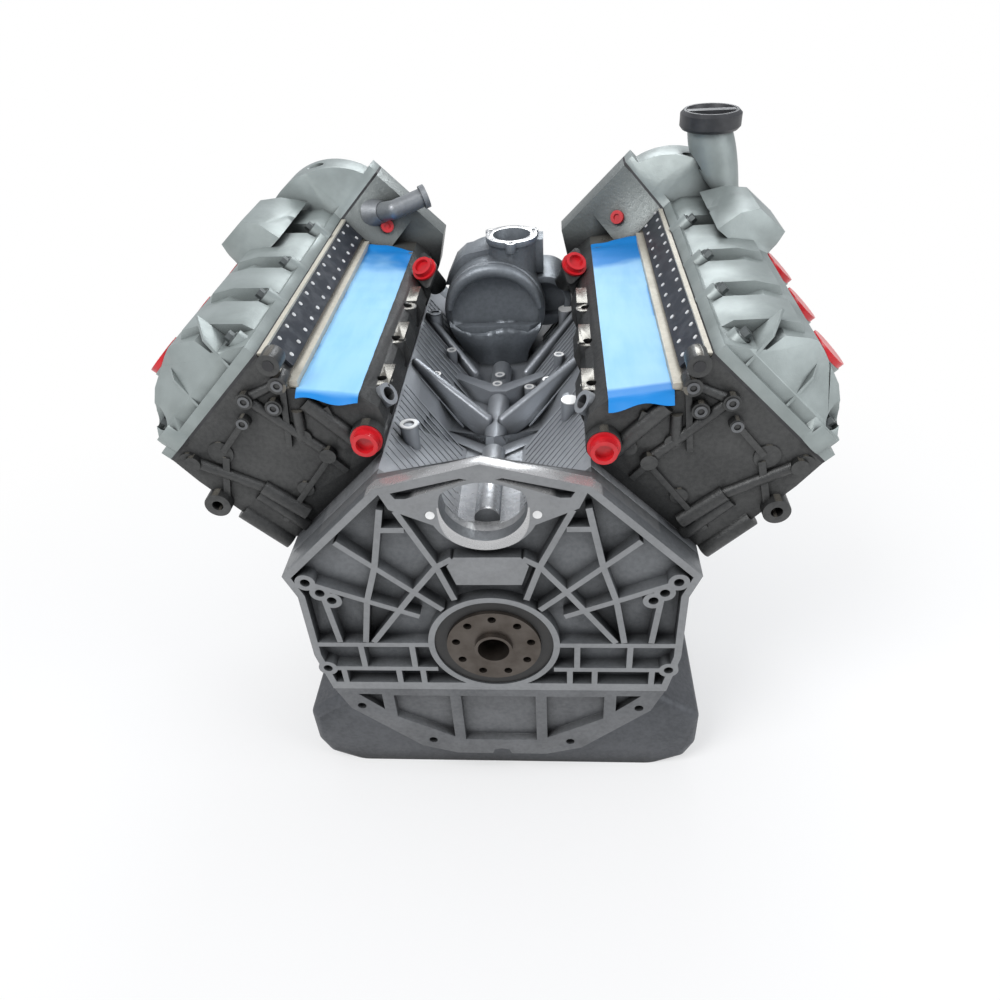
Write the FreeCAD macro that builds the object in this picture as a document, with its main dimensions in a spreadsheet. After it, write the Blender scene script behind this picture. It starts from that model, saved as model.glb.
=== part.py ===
"""A 90-degree V8 petrol engine with twin overhead camshafts on each bank, as a long assembly of separate pieces.

Frame: +Z up, +Y to the engine's front, +X to the right bank, millimetres. The origin is the centre of the
crankshaft's rear flange face. Pieces of a cylinder bank are drawn upright, with X outwards from the valley,
Y forwards and Z up the cylinder axis, and are then tilted about the crankshaft axis.
"""
import FreeCAD, Part
import math
import os
import Sketcher

doc = FreeCAD.newDocument("v8_engine")
Vector = FreeCAD.Vector
RIGHT, LEFT = 1, -1
SIDE_NAME = {RIGHT: "right", LEFT: "left"}

# ---------------------------------------------------------------- driving sizes, one row of the sheet each
SIZES = {
    "bank_tilt": (45, "degrees from upright to each bank, half of the V"),
    "bore_radius": (46.25, "cylinder bore 92.5"),
    "stroke": (93, "piston travel"),
    "bore_spacing": (102, "between neighbouring cylinders of a bank"),
    "bank_stagger": (18, "left bank ahead of the right one, two rods to a crankpin"),
    "first_bore": (104, "rearmost right cylinder, from the flange face"),
    "deck_height": (227, "crank axis to the cylinder-head face"),
    "deck_half": (80, "half the width of the head face"),
    "rod_length": (151, "centre to centre"),
    "compression_height": (29.5, "piston pin to crown"),
    "piston_clearance": (0.05, "radial, in the bore"),
    "skirt_drop": (20, "piston pin to the bottom of the skirt"),
    "rear_face": (2, "bell-housing face of the block"),
    "front_face": (482, "timing face of the block"),
    "web_depth": (15, "how far the ribs of the rear wall stand out"),
    "wall": (8, "cast wall and rib root"),
    "rib": (6.5, "cast stiffening rib"),
    "skirt_half": (150, "half the width of the crankcase"),
    "split_height": (-76, "sump rail below the crank axis"),
    "flange_half": (206, "half the width of the bell-housing flange"),
    "valley_half": (32, "half the width of the valley floor"),
    "valley_floor": (150, "valley floor above the crank axis"),
    "arch_top": (259, "top of the beam over the rear opening"),
    "arch_foot": (140, "where the arch round the rear opening meets the rear wall"),
    "wall_end": (36, "front of the rear wall, past the hollow for the crankshaft flange"),
    "opening_height": (195, "centre of the rear opening into the valley"),
    "opening_radius": (43, "rear opening into the valley"),
    "main_radius": (32, "main journal"),
    "pin_radius": (27, "crankpin"),
    "main_length": (22, "main journal and its bearing"),
    "pin_length": (40, "crankpin, two rods wide"),
    "shell": (2, "bearing shell thickness"),
    "running_fit": (0.05, "radial clearance of a shaft in its bearing"),
    "air_gap": (0.4, "clearance beside a moving piece"),
    "seal_radius": (66, "outside of the rear crankshaft seal"),
    "flange_radius": (52, "crankshaft flange"),
    "flange_thick": (16, "crankshaft flange"),
    "flange_pitch": (42, "radius of the ring of flywheel bolt holes"),
    "flange_hole": (4.6, "flywheel bolt hole radius"),
    "pilot_radius": (17.5, "gearbox pilot bore"),
    "counterweight": (75, "sweep of the counterweights"),
    "bell_hole_x": (194, "outer bell-housing bolts, across"),
    "bell_hole_high": (95, "outer bell-housing bolts, upper"),
    "bell_hole_low": (-40, "outer bell-housing bolts, lower"),
    "bell_hole_radius": (5.2, "bell-housing thread"),
    "gasket": (1, "cylinder-head gasket"),
    "head_rear": (48, "rear face of the right head"),
    "chest_rear": (452, "where the heads widen for the chain drive"),
    "chest_front": (520, "front face of the heads"),
    "head_half": (83, "half the width of the camshaft deck"),
    "deck_rise": (18, "camshaft deck above the camshaft axis"),
    "cam_height": (360, "camshaft axis above the crank axis"),
    "cam_spread": (46, "camshaft axis out from the cylinder plane"),
    "cam_shaft_radius": (12, "camshaft journal"),
    "lobe_base": (17, "cam base circle"),
    "lift": (9, "cam lift"),
    "seal_strip": (3, "camshaft cover gasket"),
    "cover_flange": (11, "height of the cover's bolting flange"),
    "cover_wall": (4, "camshaft cover wall"),
    "crown_rise": (68, "cover ridge above the camshaft deck"),
    "tub_half": (245, "half the width of the oil sump"),
    "sump_floor": (-252, "underside of the sump"),
    "tub_front": (330, "front of the deep part of the sump"),
    "crank_teeth": (18, "chain sprocket on the crankshaft"),
    "cam_teeth": (36, "chain sprocket on a camshaft"),
    "chain_pitch": (8, "inverted-tooth chain"),
    "chain_thick": (6, "chain, across its path"),
    "chain_wide": (8, "chain, along the crankshaft"),
    "chain_right": (492, "middle of the right bank's chain"),
    "chain_left": (503, "middle of the left bank's chain"),
    "timing_front": (526, "outside of the timing cover"),
    "nose_radius": (14, "crankshaft nose"),
    "damper_radius": (78, "crankshaft pulley and damper"),
    "neck_x": (262, "oil filler, across"),
    "neck_y": (468, "oil filler, along"),
    "cap_base": (417, "underside of the oil filler cap"),
    "cap_radius": (37, "oil filler cap"),
    "cap_height": (22, "oil filler cap"),
    "tower_x": (16, "coolant outlet, across"),
    "tower_y": (416, "coolant outlet, along"),
    "tower_top": (313, "coolant outlet flange"),
    "tower_radius": (33, "coolant outlet flange"),
    "tower_bore": (24, "coolant outlet bore"),
    "cap_half": (68, "half the width of a main bearing cap"),
    "mount_rear": (190, "rear pair of engine-mount bosses, along"),
    "mount_pitch": (110, "between the engine-mount bosses, along"),
    "mount_low": (-52, "lower engine-mount bosses"),
    "mount_rise": (60, "between the engine-mount bosses, upwards"),
    "pan_hole_x": (165, "upper bell-housing bolts of the sump, across"),
    "pan_hole_high": (-108, "upper bell-housing bolts of the sump"),
    "keel_hole_x": (85, "lowest bell-housing bolts, across"),
    "keel_hole_low": (-174, "lowest bell-housing bolts"),
    "keel": (-200, "lowest edge of the bell-housing face"),
    "pan_height": (-112, "joint between the upper and lower sump"),
    "rail": (16, "width of the sump's bolting rail"),
    "tub_wall": (8, "sump wall"),
    "tub_round": (12, "rounded corners of the tub"),
    "drain_x": (120, "drain plug, across"),
    "drain_radius": (7, "drain thread"),
    "chest_inner": (150, "chain chest, towards the valley"),
    "chest_outer": (112, "chain chest, outwards"),
    "bay_drop": (48, "floor of the spring bays below the camshaft axis"),
    "well_radius": (17, "ignition-coil well"),
    "well_across": (18, "ignition-coil wells, outwards from the cylinder plane"),
    "well_drop": (5, "rim of a coil well below the cover's ridge"),
    "ear_hole": (6, "threaded hole in the ear of a head"),
    "port_radius": (11, "coolant port at the rear of a head"),
    "valve_radius": (15, "valve head"),
    "stem_radius": (3, "valve stem"),
    "tappet_radius": (15, "bucket tappet"),
    "tappet_height": (20, "bucket tappet"),
    "dome_rise": (8, "centre of the rounded cover ends above the camshaft axis"),
    "dome_in": (92, "rounded cover end over the intake chain wheel"),
    "dome_out": (62, "rounded cover end over the exhaust chain wheel"),
    "dome_across": (50, "centre of the larger dome, towards the valley"),
    "guide_across": (58, "chain guide, out from the cylinder plane"),
    "neck_foot": (36, "foot of the oil filler neck"),
    "neck_radius": (27, "mouth of the oil filler neck"),
    "drum_radius": (66, "coolant housing"),
    "drum_rear": (384, "rear of the coolant housing"),
    "drum_height": (224, "centre of the coolant housing"),
    "elbow_along": (476, "coolant elbow, along"),
    "elbow_radius": (12, "coolant elbow"),
    "front_plug_along": (384, "front coolant plugs, along"),
    "front_port_radius": (9, "front coolant port"),
    "bolt_seat": (22, "seat of the cover bolts above the cover's foot"),
    "plug_radius": (6, "spark-plug thread"),
    "film_overhang": (10, "film, behind the head's rear face"),
    "film_wide": (66, "protective film, across"),
    "film_thick": (1, "protective film"),
    "plate_rear": (24, "screwed plate, ahead of the head's rear face"),
}

sheet = doc.addObject("Spreadsheet::Sheet", "Sizes")
for row, (alias, (number, meaning)) in enumerate(SIZES.items(), start=1):
    sheet.set(f"A{row}", alias)
    sheet.set(f"B{row}", str(number))
    sheet.set(f"C{row}", meaning)
    sheet.setAlias(f"B{row}", alias)
doc.recompute()


class Length:
    """A size that remembers the sheet formula it came from, so that a property can be bound to it."""

    def __init__(self, value, formula):
        self.value = float(value)
        self.formula = formula

    def __add__(self, other):
        return Length(self.value + number(other), f"({self.formula} + {formula(other)})")

    def __sub__(self, other):
        return Length(self.value - number(other), f"({self.formula} - {formula(other)})")

    def __mul__(self, other):
        return Length(self.value * number(other), f"({self.formula} * {formula(other)})")

    def __truediv__(self, other):
        return Length(self.value / number(other), f"({self.formula} / {formula(other)})")

    def __radd__(self, other):
        return Length(number(other) + self.value, f"({formula(other)} + {self.formula})")

    def __rsub__(self, other):
        return Length(number(other) - self.value, f"({formula(other)} - {self.formula})")

    def __rmul__(self, other):
        return self * other

    def __neg__(self):
        return self * -1

    def __float__(self):
        return self.value


def number(size):
    return size.value if isinstance(size, Length) else float(size)


def formula(size):
    return size.formula if isinstance(size, Length) else f"({float(size)!r})"


class Sheet:
    """Reads a cell of the sheet as a Length."""

    def __getattr__(self, alias):
        return Length(sheet.get(alias), f"Sizes.{alias}")


S = Sheet()


def bind(thing, prop, size):
    """Binds a property to the sheet, or sets it when the size is a bare number."""
    if isinstance(size, Length):
        thing.setExpression(prop, size.formula)
    elif "." in prop:
        thing.setExpression(prop, formula(size))
    else:
        setattr(thing, prop, size)


# ---------------------------------------------------------------- drawing helpers
TURNS = {
    "x": FreeCAD.Rotation(Vector(0, 1, 0), 90),
    "y": FreeCAD.Rotation(Vector(1, 0, 0), -90),
    "z": FreeCAD.Rotation(),
}
AXES = {"x": Vector(1, 0, 0), "y": Vector(0, 1, 0), "z": Vector(0, 0, 1)}


def place(thing, at, rotation=None):
    thing.Placement = FreeCAD.Placement(Vector(*[number(v) for v in at]), rotation or FreeCAD.Rotation())
    for axis, size in zip("xyz", at):
        if isinstance(size, Length):
            bind(thing, f"Placement.Base.{axis}", size)
    return thing


def cylinder(name, radius, length, at=(0, 0, 0), along="z", rotation=None):
    thing = doc.addObject("Part::Cylinder", name)
    bind(thing, "Radius", radius)
    bind(thing, "Height", length)
    return place(thing, at, rotation or TURNS[along])


def cone(name, radius_1, radius_2, length, at=(0, 0, 0), along="z", rotation=None):
    thing = doc.addObject("Part::Cone", name)
    bind(thing, "Radius1", radius_1)
    bind(thing, "Radius2", radius_2)
    bind(thing, "Height", length)
    return place(thing, at, rotation or TURNS[along])


def box(name, size, at, rotation=None):
    thing = doc.addObject("Part::Box", name)
    for prop, value in zip(("Length", "Width", "Height"), size):
        bind(thing, prop, value)
    return place(thing, at, rotation)


def draw(sketch, points):
    """A closed outline of straight lines whose corners are held at bound distances from the origin."""
    first = sketch.GeometryCount
    corners = [Vector(number(a), number(b), 0) for a, b in points]
    count = len(corners)
    sketch.addGeometry([Part.LineSegment(corners[i], corners[(i + 1) % count]) for i in range(count)], False)
    for i in range(count):
        here = first + i
        sketch.addConstraint(Sketcher.Constraint("Coincident", here, 2, first + (i + 1) % count, 1))
    for i, pair in enumerate(points):
        for kind, size in zip(("DistanceX", "DistanceY"), pair):
            index = sketch.addConstraint(Sketcher.Constraint(kind, -1, 1, first + i, 1, number(size)))
            if isinstance(size, Length):
                sketch.setExpression(f"Constraints[{index}]", size.formula)


SKETCH_TURNS = {
    "y": FreeCAD.Rotation(Vector(1, 0, 0), 90),
    "z": FreeCAD.Rotation(),
    "x": FreeCAD.Rotation(Vector(1, 1, 1), 120),
}


def prism(name, points, start, length, along="y"):
    """An outline pushed along an axis: drawn across X-Z for y, X-Y for z and Y-Z for x."""
    sketch = doc.addObject("Sketcher::SketchObject", f"{name}_outline")
    at = [start if axis == along else 0 for axis in "xyz"]
    place(sketch, at, SKETCH_TURNS[along])
    draw(sketch, points)
    solid = doc.addObject("Part::Extrusion", name)
    solid.Base = sketch
    solid.DirMode = "Custom"
    solid.Dir = AXES[along]
    solid.Solid = True
    bind(solid, "LengthFwd", length)
    return solid


def fuse(name, parts):
    if len(parts) == 1:
        return parts[0]
    thing = doc.addObject("Part::MultiFuse", name)
    thing.Shapes = parts
    return thing


def cut(name, base, tools):
    thing = doc.addObject("Part::Cut", name)
    thing.Base = base
    thing.Tool = fuse(f"{name}_tools", tools)
    return thing


def group(name, parts):
    """Separate solids that share one node."""
    thing = doc.addObject("Part::Compound", name)
    thing.Links = parts
    return thing


def solid_of(name, shape, placement=None):
    thing = doc.addObject("Part::Feature", name)
    thing.Shape = shape
    thing.Placement = placement or FreeCAD.Placement()
    return thing


def mirrored(points, side):
    return [(a * side, b) for a, b in points]


def both_sides(points):
    """A half outline, listed from the middle outwards and down, closed by its mirror image."""
    other = [(-a, b) for a, b in reversed(points) if abs(number(a)) > 1e-6]
    return points + other


NODES = {}


def keep(thing, label):
    thing.Label = label
    NODES[label] = thing
    return thing


def keep_on_bank(thing, label, side):
    """Tilts a piece drawn upright onto its bank."""
    thing.Placement = FreeCAD.Placement(Vector(), FreeCAD.Rotation(Vector(0, 1, 0), side * number(S.bank_tilt)))
    bind(thing, "Placement.Rotation.Angle", S.bank_tilt * side)
    return keep(thing, label)


HALF_ROOT = math.sqrt(0.5)


def from_bank(across, height):
    """The X and Z of a point given outwards from a bank's cylinder plane and up its axis."""
    return ((height + across) * HALF_ROOT, (height - across) * HALF_ROOT)


# ---------------------------------------------------------------- places worked out from the driving sizes
CYLINDERS = range(4)


def bore_along(side, index):
    """Where a cylinder's axis meets the crankshaft, counted from the rear."""
    first = S.first_bore if side == RIGHT else S.first_bore + S.bank_stagger
    return first + S.bore_spacing * index


def pin_along(index):
    return S.first_bore + S.bank_stagger / 2 + S.bore_spacing * index


def main_along(index):
    return pin_along(index) - S.bore_spacing / 2


def head_rear(side):
    return S.head_rear if side == RIGHT else S.head_rear + S.bank_stagger


DECK_INNER = from_bank(-1 * S.deck_half, S.deck_height)
DECK_OUTER = from_bank(S.deck_half, S.deck_height)
HEAD_FOOT = S.deck_height + S.gasket
CAM_DECK = S.cam_height + S.deck_rise
CROWN = CAM_DECK + S.crown_rise
BELL_HOLES = [(S.bell_hole_x, S.bell_hole_high), (S.bell_hole_x, S.bell_hole_low)]
DOWEL_HOLES = [(181, 80), (170, 69)]
CAVITY_RADIUS = S.counterweight + 7
MAIN_BORE = S.main_radius + S.running_fit + S.shell


# ---------------------------------------------------------------- cylinder block
def block_outline():
    return both_sides([
        (0, S.valley_floor), (S.valley_half, S.valley_floor), DECK_INNER, DECK_OUTER,
        (S.skirt_half + 38, 62), (S.skirt_half, 28), (S.skirt_half, S.split_height), (0, S.split_height),
    ])


def rear_outline():
    return both_sides([
        (0, S.arch_top), (34, S.arch_top - 9), DECK_INNER, DECK_OUTER, (S.flange_half, 74),
        (S.flange_half, -18), (S.flange_half - 12, S.split_height), (0, S.split_height),
    ])


def strip(start, end, width, rear, depth):
    """A straight cast rib seen from the rear, from one corner of the web to another."""
    a, b = Vector(start[0], rear, start[1]), Vector(end[0], rear, end[1])
    along = (b - a).normalize()
    across = Vector(-along.z, 0, along.x) * (width / 2)
    wire = Part.makePolygon([a + across, b + across, b - across, a - across, a + across])
    return Part.Face(wire).extrude(Vector(0, depth, 0))


WEB = {
    "hub_low": (52, 55), "hub_mid": (38, 70), "plate": (36, 128), "cross": (53, 117), "lattice": (80, 81),
    "star": (117, 116), "beam_in": (86, 190), "beam_out": (101, 192), "window": (106, 166), "window_in": (80, 166),
    "fork": (132, 68), "corner": (188, 94), "deck": (153, 150), "ledge": (134, 4), "ledge_out": (143, 4),
    "side_top": (178, 72), "side_foot": (172, 4), "hub_side": (78, 45), "deck_out": (196, 96),
}
WEB_RIBS = [
    ("hub_mid", "cross"), ("cross", "beam_in"), ("plate", "cross"), ("cross", "lattice"), ("lattice", "ledge"),
    ("hub_low", "lattice"), ("lattice", "star"), ("star", "deck"), ("beam_out", "star"), ("star", "fork"),
    ("fork", "ledge_out"), ("hub_side", "fork"), ("fork", "deck_out"), ("window_in", "window"),
    ("side_top", "side_foot"),
]


def rear_web():
    """The lattice of ribs between the crankshaft seal and the bell-housing bolts, with the two rows of low rails."""
    rear, depth, width = number(S.rear_face), number(S.web_depth), number(S.rib)
    flange, split = number(S.flange_half), number(S.split_height)
    bars = []
    for side in (RIGHT, LEFT):
        for start, end in WEB_RIBS:
            ends = [(WEB[point][0] * side, WEB[point][1]) for point in (start, end)]
            bars.append(strip(*ends, width, rear, depth))
        rows = [(0, 72, flange - 4), (-40, 66, flange - 8)]
        for height, inner, outer in rows:
            bars.append(strip((inner * side, height), (outer * side, height), width, rear, depth))
        for across, low, high in [(92, -40, 0), (150, -40, 0), (176, -76, -40), (112, -76, -40), (84, -76, -40)]:
            bars.append(strip((across * side, low), (across * side, high), width, rear, depth))
    bars.append(strip((-flange + 12, split + 6), (flange - 12, split + 6), 12, rear, depth))
    return bars


def rear_frame():
    """The machined rim that follows the edge of the bell-housing face."""
    rear, depth, wall = number(S.rear_face), number(S.web_depth), number(S.wall)
    corners = [Vector(number(a), rear, number(b)) for a, b in rear_outline()]
    face = Part.Face(Part.makePolygon(corners + corners[:1]))
    inner = face.makeOffset2D(-wall)
    return face.cut(inner).extrude(Vector(0, depth, 0))


def build_block():
    """The block casting, given as three nodes: the rear wall, the arch above it and the cylinders ahead of them."""
    rear, web = S.rear_face, S.web_depth
    length = S.front_face - S.rear_face
    solids = [
        prism("block_core", block_outline(), rear + web, length - web),
        prism("rear_wall", rear_outline(), rear + web - 1, S.wall + 3),
        solid_of("rear_frame", rear_frame()),
        cylinder("seal_housing", S.seal_radius + 7, web, (0, rear, 0), "y"),
        cylinder("opening_ring", S.opening_radius + 12, web, (0, rear, S.opening_height), "y"),
    ]
    bars = rear_web()
    solids.append(solid_of("rear_ribs", bars[0].multiFuse(bars[1:])))
    beam = both_sides([(0, S.arch_top - 2), (34, S.arch_top - 11), (100, 212), (92, 192), (50, 172), (0, 200)])
    solids.append(prism("arch_beam", beam, rear, web))
    solids.append(prism("seal_plate", both_sides([(0, 130), (34, 130), (42, 118), (34, 92), (0, 92)]), rear, web))
    for side in (RIGHT, LEFT):
        for number_of, (x, z) in enumerate(BELL_HOLES + DOWEL_HOLES):
            solids.append(cylinder(f"bell_boss_{side + 1}_{number_of}", 11, web, (x * side, rear, z), "y"))
        for index in range(4):
            at = (S.skirt_half * side, mount_along(index), mount_height(index))
            turn = TURNS["x"] if side == RIGHT else FreeCAD.Rotation(Vector(0, 1, 0), -90)
            solids.append(cylinder(f"mount_boss_{side + 1}_{index}", 14, 18, at, rotation=turn))
        for index in range(3):
            along = pin_along(index) + S.bore_spacing / 2
            fin = [(S.skirt_half - 2, -70), (S.skirt_half + 14, -70), (S.skirt_half + 34, 56), (S.skirt_half - 2, 24)]
            solids.append(prism(f"side_rib_{side + 1}_{index}", mirrored(fin, side), along - 4, 8))
    solids += valley_castings()
    casting = fuse("block_casting", solids)

    hollow = []
    for index in CYLINDERS:
        start, bay = main_along(index) + S.main_length / 2, S.bore_spacing - S.main_length
        hollow.append(cylinder(f"crank_bay_{index}", CAVITY_RADIUS, bay, (0, start, 0), "y"))
        hollow.append(box(f"bay_mouth_{index}", (CAVITY_RADIUS * 2, bay, 90), (CAVITY_RADIUS * -1, start, -90)))
    cap_space = (S.cap_half * 2, S.front_face - main_along(0) + S.main_length, 90)
    hollow.append(box("cap_space", cap_space, (S.cap_half * -1, main_along(0) - S.main_length / 2, -90)))
    hollow.append(cylinder("main_line", MAIN_BORE, 700, (0, -20, 0), "y"))
    hollow.append(cylinder("seal_bore", S.seal_radius, 28, (0, rear - 1, 0), "y"))
    hollow.append(cylinder("flange_space", S.flange_radius + 6, 49, (0, rear - 1, 0), "y"))
    hollow.append(cylinder("rear_opening", S.opening_radius, web + 20, (0, rear - 5, S.opening_height), "y"))
    for side in (RIGHT, LEFT):
        turn = FreeCAD.Rotation(Vector(0, 1, 0), side * number(S.bank_tilt))
        for index in CYLINDERS:
            foot = (HALF_ROOT * side * BORE_FOOT, bore_along(side, index), HALF_ROOT * BORE_FOOT)
            hollow.append(cylinder(f"bore_{side + 1}_{index}", S.bore_radius, 200, foot, rotation=turn))
        slot = [(13, 241), (20, 243), (88, 212), (84, 205), (74, 205)]
        hollow.append(prism(f"arch_slot_{side + 1}", mirrored(slot, side), rear - 1, 11))
        for index, (x, z) in enumerate(BELL_HOLES + DOWEL_HOLES):
            at = (x * side, rear - 1, z)
            hollow.append(cylinder(f"bell_hole_{side + 1}_{index}", S.bell_hole_radius, web + 1, at, "y"))
        for index in range(4):
            at = ((S.skirt_half + 19) * side, mount_along(index), mount_height(index))
            turn = FreeCAD.Rotation(Vector(0, 1, 0), -90 * side)
            hollow.append(cylinder(f"mount_hole_{side + 1}_{index}", S.bell_hole_radius, 26, at, rotation=turn))
    block = cut("block", casting, hollow)
    behind = box("wall_room", (900, 900, 900), (-450, S.wall_end - 900, -450))
    above = box("arch_room", (900, 900, 900), (-450, S.wall_end - 900, S.arch_foot))
    wall = doc.addObject("Part::MultiCommon", "rear_slice")
    wall.Shapes = [block, behind]
    arch = doc.addObject("Part::MultiCommon", "arch_slice")
    arch.Shapes = [wall, above]
    keep(arch, "rear_arch")
    keep(cut("bell_wall", wall, [above]), "bell_housing_wall")
    return keep(cut("block_ahead", block, [behind]), "cylinder_block")


def mount_along(index):
    return S.mount_rear + S.mount_pitch * (index % 2)


def mount_height(index):
    return S.mount_low + S.mount_rise * (index // 2)


BORE_FOOT = 70


def valley_castings():
    """The oil gallery, the ribs across the valley and the bosses that stand up from its floor and walls."""
    floor = S.valley_floor
    rear = S.rear_face + S.web_depth
    pieces = [cylinder("oil_gallery", 13, 330, (0, rear, floor + 6), "y")]
    for side in (RIGHT, LEFT):
        for index, along in enumerate((150, 262)):
            rib = [(0, along), (10, along), (104, along + 74), (104, along + 84), (0, along + 14)]
            web = [(a * side, b) for a, b in rib]
            pieces.append(prism(f"valley_rib_{side + 1}_{index}", web, floor - 4, 26, "z"))
    bosses = [(0, 318, 165), (0, 294, 165), (39, 285, 166), (61, 302, 168), (76, 372, 172), (-72, 392, 172),
              (-86, 322, 176), (-91, 146, 200), (89, 198, 200)]
    for index, (x, y, top) in enumerate(bosses):
        radius = 11 if index > 6 else 7
        pieces.append(cylinder(f"valley_boss_{index}", radius, top - 130, (x, y, 130)))
    return pieces


# ---------------------------------------------------------------- crankshaft and its bearings
THROW_DEGREES = (0, 90, 270, 180)


def throw_centre(index):
    """The X and Z of a crankpin: the first throw stands in the right bank's plane, the others follow."""
    angle = math.radians(45 + THROW_DEGREES[index])
    reach = number(S.stroke) / 2
    return math.sin(angle) * reach, math.cos(angle) * reach


def web_shape(index, start, thick):
    """A crank web: a plate that joins the main journal to the pin, with a counterweight sector behind."""
    x, z = throw_centre(index)
    reach = math.hypot(x, z)
    toward = Vector(x / reach, 0, z / reach)
    across = Vector(-toward.z, 0, toward.x)
    main, pin, sweep = number(S.main_radius) + 10, number(S.pin_radius) + 7, number(S.counterweight)
    base, tip = Vector(0, start, 0), Vector(x, start, z)
    arm = Part.Face(Part.makePolygon([base + across * main, tip + across * pin, tip - across * pin,
                                      base - across * main, base + across * main])).extrude(Vector(0, thick, 0))
    ends = [Part.makeCylinder(main, thick, base, Vector(0, 1, 0)), Part.makeCylinder(pin, thick, tip, Vector(0, 1, 0))]
    disc = Part.makeCylinder(sweep, thick, base, Vector(0, 1, 0))
    wedge = Part.Face(Part.makePolygon([base, base - toward * 200 + across * 190, base - toward * 200 - across * 190,
                                        base])).extrude(Vector(0, thick, 0))
    return arm.multiFuse(ends + [disc.common(wedge)])


def build_crankshaft():
    radius = S.main_radius
    pieces = [
        cylinder("crank_flange", S.flange_radius, S.flange_thick, (0, 0, 0), "y"),
        cylinder("crank_spigot", S.pilot_radius + 3.5, 6, (0, -5, 0), "y"),
        cylinder("crank_tail", 44, main_along(0) - S.main_length / 2 - 2, (0, 1, 0), "y"),
        cylinder("crank_nose", S.nose_radius, S.timing_front + 24 - S.front_face, (0, S.front_face - 2, 0), "y"),
    ]
    for index in range(5):
        start = main_along(index) - S.main_length / 2 - 1
        pieces.append(cylinder(f"main_journal_{index}", radius, S.main_length + 2, (0, start, 0), "y"))
    shapes = []
    for index in CYLINDERS:
        x, z = throw_centre(index)
        centre, half_pin = number(pin_along(index)), number(S.pin_length) / 2
        half_main = number(S.main_length) / 2 + number(S.air_gap)
        thick = number(S.bore_spacing) / 2 - half_pin - half_main
        shapes.append(Part.makeCylinder(number(S.pin_radius), half_pin * 2 + 2, Vector(x, centre - half_pin - 1, z),
                                        Vector(0, 1, 0)))
        shapes.append(web_shape(index, centre - half_pin - thick, thick))
        shapes.append(web_shape(index, centre + half_pin, thick))
    pieces.append(solid_of("crank_throws", shapes[0].multiFuse(shapes[1:])))
    solid = fuse("crank_solid", pieces)
    holes = [cylinder("pilot_bore", S.pilot_radius, 36, (0, -6, 0), "y")]
    for index in range(9):
        angle = math.radians(40 * index)
        at = (math.sin(angle) * S.flange_pitch, -1, math.cos(angle) * S.flange_pitch)
        holes.append(cylinder(f"flange_hole_{index}", S.flange_hole, S.flange_thick + 2, at, "y"))
    return keep(cut("crank", solid, holes), "crankshaft")


def build_rear_seal():
    ring = cylinder("seal_body", S.seal_radius, 10, (0, S.rear_face + 2, 0), "y")
    lip = cylinder("seal_lip", S.flange_radius + S.air_gap, 12, (0, S.rear_face + 1, 0), "y")
    return keep(cut("rear_seal", ring, [lip]), "rear_main_seal")


def build_main_caps():
    """Five caps that close the main bearings from below, and the two halves of each bearing shell."""
    caps, shells = [], []
    for index in range(5):
        start = main_along(index) - S.main_length / 2
        body = box(f"cap_body_{index}", (S.cap_half * 2 - 0.2, S.main_length, 62), (S.cap_half * -1 + 0.1, start, -62))
        bore = cylinder(f"cap_bore_{index}", MAIN_BORE, 40, (0, start - 9, 0), "y")
        caps.append(cut(f"cap_{index}", body, [bore]))
        ring = cylinder(f"shell_ring_{index}", MAIN_BORE, S.main_length, (0, start, 0), "y")
        void = cylinder(f"shell_bore_{index}", S.main_radius + S.running_fit, 40, (0, start - 9, 0), "y")
        shells.append(cut(f"shell_{index}", ring, [void]))
    keep(group("caps", caps), "main_bearing_caps")
    keep(group("shells", shells), "main_bearing_shells")


# ---------------------------------------------------------------- pistons
def crank_angle(side, index):
    """How far a crankpin is turned from its cylinder's axis, in radians."""
    return math.radians(45 + THROW_DEGREES[index] - side * 45)


def pin_height(side, index):
    """How high a piston pin stands on its cylinder's axis for the way the crankshaft is turned."""
    throw, rod = number(S.stroke) / 2, number(S.rod_length)
    angle = crank_angle(side, index)
    return throw * math.cos(angle) + math.sqrt(rod ** 2 - (throw * math.sin(angle)) ** 2)


def revolved(name, points):
    """A PartDesign body turned about its own Z axis from a half section of radius and height."""
    body = doc.addObject("PartDesign::Body", name)
    sketch = body.newObject("Sketcher::SketchObject", f"{name}_section")
    sketch.AttachmentSupport = [(next(f for f in body.Origin.OriginFeatures if f.Role == "XZ_Plane"), "")]
    sketch.MapMode = "FlatFace"
    draw(sketch, points)
    turn = body.newObject("PartDesign::Revolution", f"{name}_turned")
    turn.Profile = sketch
    turn.ReferenceAxis = (sketch, ["V_Axis"])
    turn.Angle = 360
    body.Tip = turn
    return body


def pocket(body, name, plane, outline, depth, both_ways=True):
    sketch = body.newObject("Sketcher::SketchObject", f"{name}_outline")
    sketch.AttachmentSupport = [(next(f for f in body.Origin.OriginFeatures if f.Role == plane), "")]
    sketch.MapMode = "FlatFace"
    draw(sketch, outline)
    hollow = body.newObject("PartDesign::Pocket", name)
    hollow.Profile = sketch
    bind(hollow, "Length", depth)
    hollow.Midplane = both_ways
    body.Tip = hollow
    return hollow


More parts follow.
